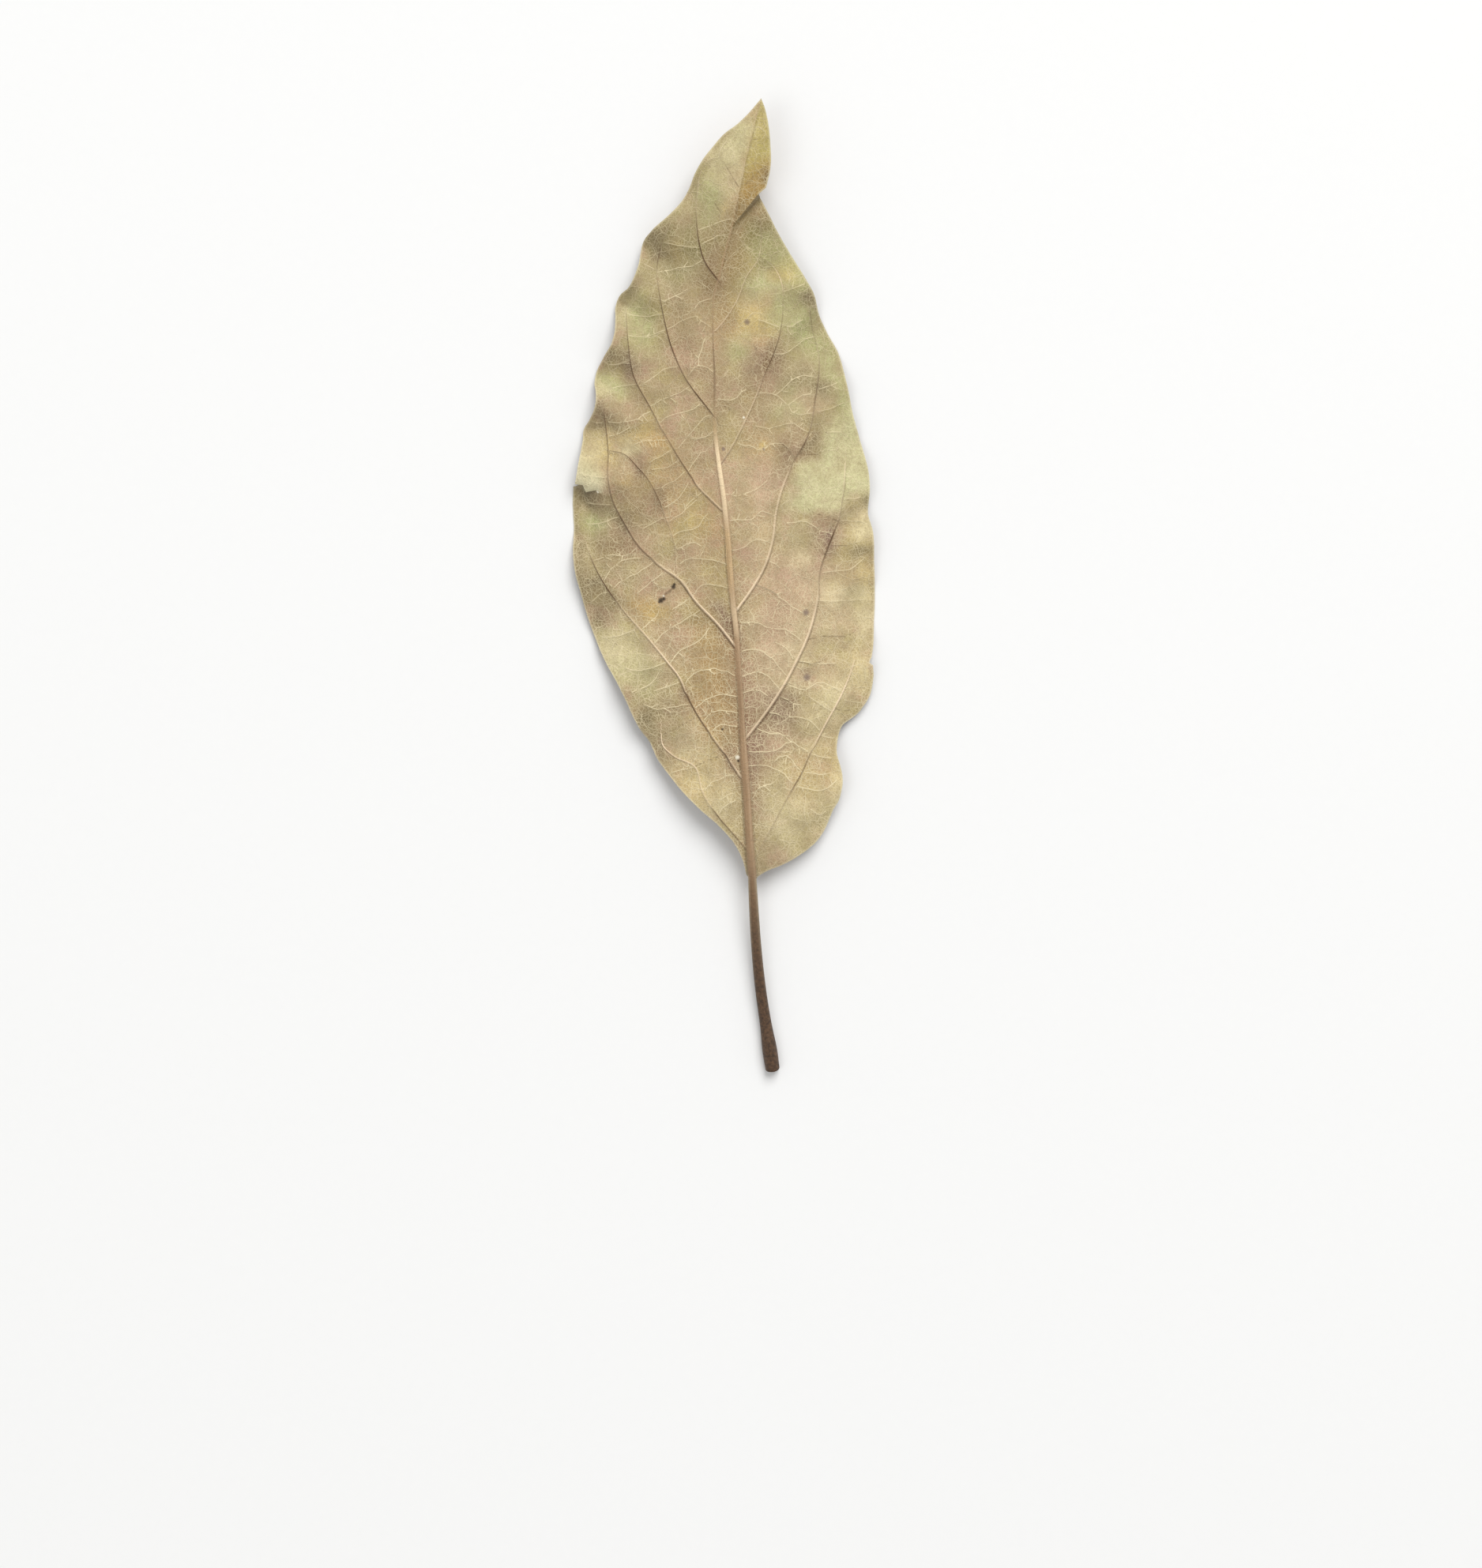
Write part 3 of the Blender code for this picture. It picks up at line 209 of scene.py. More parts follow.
# The net's stronger strands, which cross from one side vein to the next.
NET_STRANDS = [
    [(-15.7, 106.5), (-13, 107), (-9.6, 107.4), (-7.6, 108.5)],
    [(-14.8, 101), (-13.3, 101.8), (-10.4, 103.3)],
    [(-13.9, 96.3), (-10.8, 98), (-8.7, 98.5), (-7.9, 97.5), (-6.1, 96.3)],
    [(-9.1, 99.8), (-7.5, 101.3), (-6.1, 101.5)],
    [(-14.5, 111.6), (-12.9, 111.3), (-10.6, 110.7), (-8.7, 110.6)],
    [(-8.1, 111), (-6.3, 112), (-5, 112.7)],
    [(-8.6, 113.7), (-5.9, 114.5), (-2.8, 115.5)],
    [(-4.9, 126.4), (-4.2, 128.3), (-3.5, 129.1)],
    [(-21.4, 99.6), (-18.6, 98.7), (-14.9, 99)],
    [(-20.8, 95.4), (-18, 95), (-14.4, 96.1)],
    [(-18, 108), (-16.3, 107.1)],
    [(-16.9, 82.8), (-15.2, 83.7), (-11.7, 84.9), (-9.8, 86.2)],
    [(-15.1, 79.8), (-13.7, 81), (-10.4, 81.6), (-8.2, 82.9)],
    [(-12, 75.2), (-8.8, 79), (-7.6, 80.4), (-6.3, 80.9)],
    [(-10.4, 87.8), (-8.4, 89.9), (-5.9, 88.6)],
    [(-8.4, 89.9), (-8, 92.5), (-7.4, 94.4)],
    [(-18, 86.8), (-16.2, 88), (-14.3, 89.2), (-12.3, 89.5)],
    [(-26.6, 80.1), (-24, 80), (-20.7, 80), (-17, 81.8)],
    [(-24.2, 77.7), (-21.7, 78.3), (-20.5, 79.1)],
    [(-23.6, 86.2), (-21.9, 86.6), (-19.3, 86.7)],
    [(-24.2, 90.4), (-20.3, 90.3)],
    [(-17, 72.8), (-15.4, 73.8), (-12.7, 75.1)],
    [(-19.7, 76.1), (-17.8, 76.7), (-13.9, 76.6)],
    [(-16.6, 71.6), (-14.5, 71.8), (-11.7, 73.3)],
    [(-10.2, 71.2), (-9.2, 73), (-8, 74.4)],
    [(-16.2, 68.1), (-12.3, 69.9), (-10.8, 71.2)],
    [(-14.9, 64.6), (-12.3, 66.2), (-10.2, 69.1)],
    [(-10.8, 64.8), (-9.2, 66.4), (-7.8, 67.5)],
    [(-9.6, 76.9), (-7.4, 77.1), (-5.9, 78)],
    [(-28, 66), (-26, 65.6), (-23.4, 65.8)],
    [(-28.8, 70.7), (-24.8, 70.3)],
    [(-18.1, 61.4), (-16.5, 62.2), (-14.8, 63.1)],
    [(-13.6, 62.4), (-10.5, 64.5), (-8.8, 66.1)],
    [(-12.9, 59.9), (-11.1, 61), (-9.7, 60.8), (-6.8, 63.7)],
    [(-12.8, 57.5), (-11.3, 57.9), (-9.7, 58.9), (-8, 58.1)],
    [(-11.7, 55), (-9.9, 56), (-7.4, 55.8), (-3.5, 54.8)],
    [(-9.3, 49.3), (-8, 51.2), (-6.2, 51.3), (-3.1, 50.6)],
    [(-27, 55.8), (-23.8, 56.7), (-21.8, 56.4), (-19.5, 57.8)],
    [(-25.1, 52.3), (-24, 54.2), (-21.8, 55.8), (-18.7, 56.1)],
    [(-24, 49.9), (-22.8, 51.7), (-20.3, 53), (-16.4, 55.4)],
    [(-19.3, 49.9), (-16.4, 52.2), (-14.8, 53.4)],
    [(-13, 47), (-11.7, 47.8), (-10.5, 48.7)],
    [(-18.3, 43.7), (-16.5, 45.2), (-15.4, 46.8)],
    [(-16.4, 40.9), (-14.8, 42.7), (-11.1, 44.8), (-8.2, 46.8)],
    [(-13.4, 37.6), (-12.3, 39.4), (-8.8, 41), (-6.6, 43.7)],
    [(-21.3, 36.8), (-20, 36.3), (-15.6, 37.1), (-14, 37.8)],
    [(-25.6, 42.3), (-23.8, 42.3), (-19.7, 43.5)],
    [(-27.2, 48.6), (-26.1, 49.7), (-24.3, 50.1)],
    [(-27.4, 62.4), (-25.7, 62.5), (-22.4, 63.5)],
    [(-20.2, 32.5), (-16.7, 34.2), (-15.4, 36)],
    [(-16.3, 32.7), (-14.2, 33.4), (-11.9, 34.2)],
    [(-17.9, 30.3), (-16.3, 29.6), (-14, 29.7), (-9.9, 30.3)],
    [(-10.9, 33.7), (-9.7, 35.2), (-8.2, 36.1), (-3.9, 36.2), (-2.1, 35.3)],
    [(-8.9, 29.8), (-7.2, 31.1), (-5, 32.1), (-1.7, 31.7)],
    [(-7.6, 27.4), (-6, 28.8), (-1.5, 28.8)],
    [(-6.2, 25.4), (-5, 26.6), (-1.7, 26.4)],
    [(-7.6, 14.9), (-6.4, 16.5), (-2.3, 17.9)],
    [(-5, 10.8), (-4.1, 12.4), (-2, 13.4)],
    [(-13, 18.4), (-9.1, 19.4)],
    [(-0.7, 35.2), (2.1, 36.1), (4.1, 34.8), (5.7, 33.2)],
    [(-0.6, 32.3), (2.7, 32.7), (3.7, 31.8)],
    [(0.1, 22.1), (5.5, 22.3), (7.8, 23.8), (9.4, 22.9), (11.1, 21.8)],
    [(0.3, 19.5), (2, 19.7), (5.7, 18.7), (8.3, 16.3)],
    [(4.9, 20.3), (6.2, 21.5), (9.6, 18.6)],
    [(2, 15.5), (2.9, 16), (4.4, 16.3)],
    [(1.8, 26.1), (3.4, 25.4), (6.6, 24.9), (7.7, 23.9)],
    [(4, 28.9), (6, 28.3), (10.7, 27.6), (12.9, 25.8)],
    [(5.9, 31.6), (7.9, 30.8), (9.6, 30.2)],
    [(7, 34), (10.5, 33.1), (12, 34.1), (14.6, 33.7), (16.9, 32.6)],
    [(11.3, 31.5), (13.3, 30.3), (15, 29.2)],
    [(8.8, 16), (13.1, 15.1), (14.6, 15.7), (15.9, 17)],
    [(9.8, 18.4), (12.4, 18.1), (14, 18.1)],
    [(11.3, 21.8), (13.1, 21.2), (15, 20.9)],
    [(13.1, 24.9), (15.3, 24.4)],
    [(11.3, 11.9), (12.9, 10.8), (14, 11.6)],
    [(-0.8, 39.6), (1.7, 40.1), (4.7, 38.1), (7, 35.4)],
    [(5.1, 41.2), (6.2, 40.8), (8.2, 38.3)],
    [(-1.2, 44.7), (1.9, 44.6), (4.3, 43.7), (6.8, 43.5), (9.7, 41.5)],
    [(1.6, 51.2), (5.6, 49.4), (7.4, 47.9), (11.1, 45.7)],
    [(3.9, 55.5), (5.8, 54.3)],
    [(-2.5, 57.2), (-0.6, 57.8), (2.1, 59.2), (4.4, 58.6)],
    [(-2.9, 62.4), (1.2, 62.9), (2.6, 64.3), (5, 63.4)],
    [(-4, 67.2), (-1.3, 66.9), (0.9, 67.5), (3.6, 69.6)],
    [(-1.6, 76.1), (0.9, 75.6), (2.8, 74.9), (3.8, 75.8), (5.9, 76.4), (8.5, 73.3)],
    [(1.6, 79.2), (5.1, 79), (7.3, 79.9), (11.2, 78.2)],
    [(14.1, 78.4), (16.8, 78.5)],
    [(2.2, 85), (5.2, 84.9), (7.1, 83.2), (7.9, 81.9), (11.8, 81.7)],
    [(5.2, 84.9), (7.1, 86.6), (9, 88.2), (12.5, 88.1)],
    [(7.3, 83.1), (9.8, 84.8), (12.2, 85.3)],
    [(12.6, 81.9), (14.5, 82.5), (17, 83.6)],
    [(12.9, 86), (14.7, 86.7), (16, 87.2)],
    [(-5, 83.8), (-2.9, 83.7), (-0.1, 85.6)],
    [(5, 92.1), (7.6, 92.5), (9.5, 94.5), (12, 95.6)],
    [(2.1, 98), (4.1, 97.4), (5.8, 96.8)],
    [(6, 97.2), (8.3, 97.2), (9.9, 98.3)],
    [(6.4, 103), (8.9, 104), (10.2, 104.5)],
    [(7.1, 62.2), (10.8, 62.3), (13.3, 60.8), (15.1, 60.4)],
    [(9.2, 37.9), (12.3, 37.5), (15.6, 37.7)],
    [(12.5, 48.6), (15, 48.6), (20.8, 49)],
    [(13.4, 53.6), (15.2, 53.7), (18.3, 54.3), (20.8, 56.2)],
    [(16.1, 62.7), (20, 62.8)],
    [(16.8, 66.5), (20, 66.9)],
]

# Strands that show as dark lines.
DARK_STRANDS = [
    [(-14.7, 25), (-13, 25.8), (-9.1, 27.9)],
    [(-9.1, 19.4), (-7, 20.4), (-4.1, 21.4)],
    [(10.7, 41.7), (13.9, 42.4), (18.3, 42.7), (19.8, 44)],
    [(9, 37.9), (11.4, 37.4), (13.6, 38.1)],
    [(6.9, 33.9), (9.2, 33.6), (10.4, 33)],
    [(5.9, 31.6), (7.2, 30.9), (8, 31)],
    [(3.8, 28.7), (6, 28.3), (7.4, 28.1)],
    [(15.5, 29.7), (17.4, 29.2), (18.7, 29.6)],
    [(10.9, 58.8), (13.8, 56.8)],
    [(15, 58.3), (17.2, 58.4), (19.5, 58.6)],
    [(5.9, 76.4), (7.4, 75.2), (8.5, 73.3)],
    [(4.3, 68.8), (6.1, 67.4)],
    [(1.6, 51.2), (3.4, 50.6), (5.6, 49.4)],
    [(-2.2, 81.4), (-4, 82.6)],
    [(4, 90.7), (2.4, 92.1), (0.4, 94.4)],
    [(-1.4, 121.1), (-2.4, 122.6), (-3.6, 124.7), (-4.7, 126.3)],
    [(-5.6, 118.5), (-4.4, 116.5), (-2.7, 114.7)],
    [(-1, 120.6), (0.6, 122.2), (2, 123.4), (3.3, 124.3)],
    [(0.9, 129.2), (2, 129.3), (3.2, 129.6)],
    [(10.4, 65), (11.7, 64), (13.9, 63.5), (16.2, 62.6)],
    [(11.3, 78.2), (14.1, 78.4)],
    [(9.4, 74.6), (11, 74.4), (13.1, 74.5)],
]

# The middle of the solid's plan, which lies at the frame's origin.
PLAN_CENTRE = (-4.018, 50.953)

# The blade's thickness, how far a slope may thicken it, and how much thinner it gets within reach of the margin.
BLADE_THICKNESS = 0.34
STEEPEST_THICKENING = 1.9
SLOPE_REACH = 0.2
MARGIN_THINNING = 0.45
MARGIN_THINNING_REACH = 0.7

# The stalk is filled out to the solid's thickness. The filling fades from the given place upwards, over a length. The
# thinner and ragged margin sets in over the blade's foot.
SOLID_THICKNESS = 0.64
STALK_FILLING = (SOLID_THICKNESS - BLADE_THICKNESS) / 2
STALK_FILLING_END = -4.0
STALK_FILLING_FADE = 12.0
FOOT_LENGTH = 4.0

# The side veins' half-widths at their feet, how much of that is left at their ends, and their height for it. A vein
# that hardly shows keeps only a share of its height.
SIDE_VEIN_HALF_WIDTHS = [0.15, 0.16, 0.18, 0.23, 0.2, 0.18, 0.16, 0.12, 0.23, 0.25, 0.21, 0.14]
SIDE_VEIN_TAPER = 0.65
SIDE_VEIN_STEEPNESS = 1.1
FAINT_VEIN_RELIEF = 0.4

# The net's relief, its small kinks, and the twigs that leave its strands, turned by an angle in radians.
NET_HALF_WIDTH = 0.12
NET_RELIEF = 0.07
KINK_STEP = 1.2
KINK = 0.17
TWIG_SHARE = 0.3
TWIG_TURN = (0.7, 1.5)
TWIG_LENGTH = (0.5, 1.6)
SEED = 7

# The blade sinks between the veins, less so near the margin, and its underside follows the veins a little.
QUILT_DEPTH = 0.16
QUILT_REACH = 1.1
QUILT_MARGIN = 1.5
RIDGES_UNDER = 0.35

# Edges are shaded sharp from this many degrees.
SHARP_ANGLE = 60

# How far apart the finer leaf's points are.
LINE_STEP = 0.45
FILL_STEP = 0.44
POINT_GAP = 0.28
LEAST_GAP = 0.09
VEIN_GAP = 0.12
MEETING_GAP = 1e-5
CURVE_STEP = 1.0
TABLE_STEP = 0.5
PARTS_OF_A_STEP = 8

# Where lines of points run: beside the midrib and the side veins as shares of their half-widths, beside the net's
# strands and the tip's fold as distances, and round each mark as (share of its radius, number of points).
RIB_LINES = (0.0, 0.45, 0.8, 0.98)
VEIN_LINES = (0.0, 1.0, 2.0)
NET_SIDE = 0.2
FOLD_LINES = (-0.8, -0.4, -0.2, 0.0, 0.15, 0.5)
MARK_RINGS = [(0.0, 1), (0.45, 6), (0.9, 10), (1.5, 12)]

# How far the measures of the veins, the midrib and the fold reach: in millimetres, or in half-widths.
NEAR_VEIN = 3.0
MOST_VEIN_WIDTHS = 6.0
MOST_RIB_WIDTHS = 4.0
PAST_FOLD_RANGE = (-4.0, 12.0)

# The blade is darker just below the tear, less so towards its lip at the margin, and the flap above it is paler.
TEAR_SHADOW = 0.9
TEAR_SHADOW_END = -24.2
TEAR_SHADOW_SHARE = 0.6
FLAP_REACH = 3.2
FLAP_FADE = 2.8

# How ragged the margin is, in places that a torn edge touches and elsewhere.
RAGGED_SMOOTH = 0.05
RAGGED_TORN = 0.12
TORN_PLACES = [(-28, 68.2, 3), (2.8, 120.6, 1.6), (22, 38, 1.2)]

# How each side vein shows from its foot to its end, in the order of SIDE_VEINS, as (place, pale, dark). The pale share
# colours its crest. The dark one colours its crest where that isn't pale, else painted shade along its lower side.
SIDE_VEIN_TONES = [
    [(0, 0, 0.95), (0.3, 0, 0.95), (0.45, 0, 0.6), (0.55, 0.1, 0.25), (0.75, 0.25, 0.1), (0.9, 0.1, 0.2),
     (1, 0.1, 0.3)],
    [(0, 0.1, 0.7), (0.12, 0, 1), (0.25, 0.1, 0.5), (0.4, 0, 1), (0.6, 0, 0.6), (0.75, 0.1, 0.2), (0.81, 0, 0.6),
     (1, 0.2, 0.1)],
    [(0, 0.35, 0.5), (0.15, 0.3, 0.4), (0.2, 0, 0.75), (0.35, 0, 0.5), (0.45, 0.15, 0.35), (0.57, 0, 0.7),
     (0.75, 0, 0.8), (0.9, 0, 0.4), (1, 0.1, 0.25)],
    [(0, 0.75, 0.7), (0.15, 0.85, 0.4), (0.28, 0.45, 0.65), (0.39, 0.4, 0.45), (0.45, 0, 0.55), (0.62, 0.1, 0.8),
     (0.78, 0.1, 0.4), (0.93, 0, 0.6), (1, 0, 0.45)],
    [(0, 0.6, 0.4), (0.09, 0.1, 0.7), (0.15, 0.4, 0.45), (0.21, 0, 0.75), (0.34, 0, 0.9), (0.4, 0.7, 0.45),
     (0.46, 0.9, 0.3), (0.65, 0.45, 0.15), (0.75, 0.15, 0.35), (0.81, 0, 1), (0.93, 0.1, 0.6), (1, 0.2, 0)],
    [(0, 0, 0.4), (0.33, 0, 0.7), (0.4, 0.2, 0.2), (0.6, 0.5, 0), (0.7, 0.7, 0.1), (0.8, 0.5, 0.4), (0.93, 1, 0.2),
     (1, 0.8, 0.1)],
    [(0, 0.1, 0.45), (0.1, 0.25, 0.25), (0.35, 0.3, 0.2), (0.44, 0, 0.5), (0.52, 0, 0.75), (0.7, 0.05, 0.35),
     (0.8, 0.1, 0.2), (0.87, 0.5, 0.1), (1, 0, 0.3)],
    [(0, 0.35, 0.2), (0.2, 0.25, 0.2), (0.65, 0.3, 0.1), (0.8, 0.1, 0.3), (1, 0.1, 0.2)],
    [(0, 0.9, 0.4), (0.1, 0.8, 0.4), (0.16, 0.45, 0.5), (0.28, 0.5, 0.15), (0.45, 0.35, 0.15), (0.5, 0, 0.3),
     (0.57, 0, 0.7), (0.65, 0.15, 0.3), (0.75, 0, 0.6), (0.85, 0.15, 0.2), (1, 0, 0.35)],
    [(0, 0.6, 0.35), (0.1, 0.55, 0.65), (0.25, 0.75, 0.4), (0.45, 0.85, 0.35), (0.55, 0.2, 0.25), (0.64, 0, 0.4),
     (0.75, 0, 1), (0.81, 0.2, 0.2), (0.87, 0.1, 0.35), (1, 0.35, 0.05)],
    [(0, 0.1, 0.1), (0.35, 0.1, 0.3), (0.4, 0.05, 0.65), (0.55, 0.05, 0.45), (0.6, 0.3, 0.3), (0.67, 0.8, 0.25),
     (0.88, 1, 0.1), (1, 0.3, 0.1)],
    [(0, 0.15, 0.1), (0.25, 0.1, 0.2), (0.4, 0.2, 0.2), (0.5, 0, 0.7), (0.65, 0.05, 0.55), (0.77, 0, 1),
     (0.83, 0, 0.9), (0.9, 0, 0.6), (1, 0.1, 0.5)],
]

# Measures of the looks along the leaf, as (y, measure).
MEASURES_ALONG = {
    # The midrib's tone, from -1 for dark to 1 for cream.
    "rib_tone": [
        (-34, -0.6), (-6, -0.5), (4, -0.2), (20, -0.18), (23, -0.05), (26, -0.22), (38, -0.2), (41, -0.05),
        (43, 0.3), (47, 0.4), (49.5, 0.15), (52, 0), (60, 0), (62, 0.35), (64.5, 0.65), (68, 0.85), (74.5, 0.85),
        (77, 0.25), (79, 0), (105, -0.1), (113, 0), (136.5, 0.1),
    ],
    # How much of the midrib is ochre, then how strongly its colours cover the blade.
    "rib_ochre": [
        (-34, 0), (48, 0), (54, 1), (60, 1), (62.5, 0), (74.5, 0), (78, 0.8), (84, 0.4), (90, 0), (136.5, 0),
    ],
    "rib_bold": [
        (-34, 1), (45, 0.95), (60, 0.85), (76, 0.6), (80, 0.3), (84, 0.15), (97, 0.15), (104, 0.5), (112, 0.4),
        (116, 0.2), (136.5, 0.2),
    ],
    # How much darker the blade is right beside the midrib.
    "rib_side": [
        (-34, 0), (4, 0.1), (14, 0.55), (20, 0.7), (27, 0.7), (33, 0.5), (42, 0.35), (50, 0.3), (60, 0.18), (66, 0),
        (73, 0), (78, 0.15), (97, 0.08), (104, 0.2), (114, 0.2), (120, 0), (136.5, 0),
    ],
    # How dark the lines along both edges of the midrib are: partly its own dark edges, partly painted shade.
    "rib_edge": [
        (-34, 0.5), (17, 0.38), (31, 0.32), (40, 0.28), (43, 0.6), (48, 0.25), (56, 0.35), (62, 0.2), (76, 0.1),
        (80, 0), (136.5, 0),
    ],
    # How dark the painted shade in the valley along the right of the midrib is, near the folded tip.
    "valley_shade": [(-34, 0), (101, 0), (105, 0.6), (117.5, 0.8), (120, 0.55), (133, 0.3), (136.5, 0)],
    # How much of the stalk's bark covers the leaf.
    "stalk": [(-34, 1), (-14, 0.85), (-2, 0.45), (6, 0.1), (12, 0), (136.5, 0)],
    # How strongly the net shows.
    "net_bold": [(-34, 1.4), (40, 1.35), (62, 1.05), (90, 0.95), (136.5, 0.95)],
}

# How far to each side of the midrib the blade beside it is darker.
RIB_SIDE_REACH = 3.2
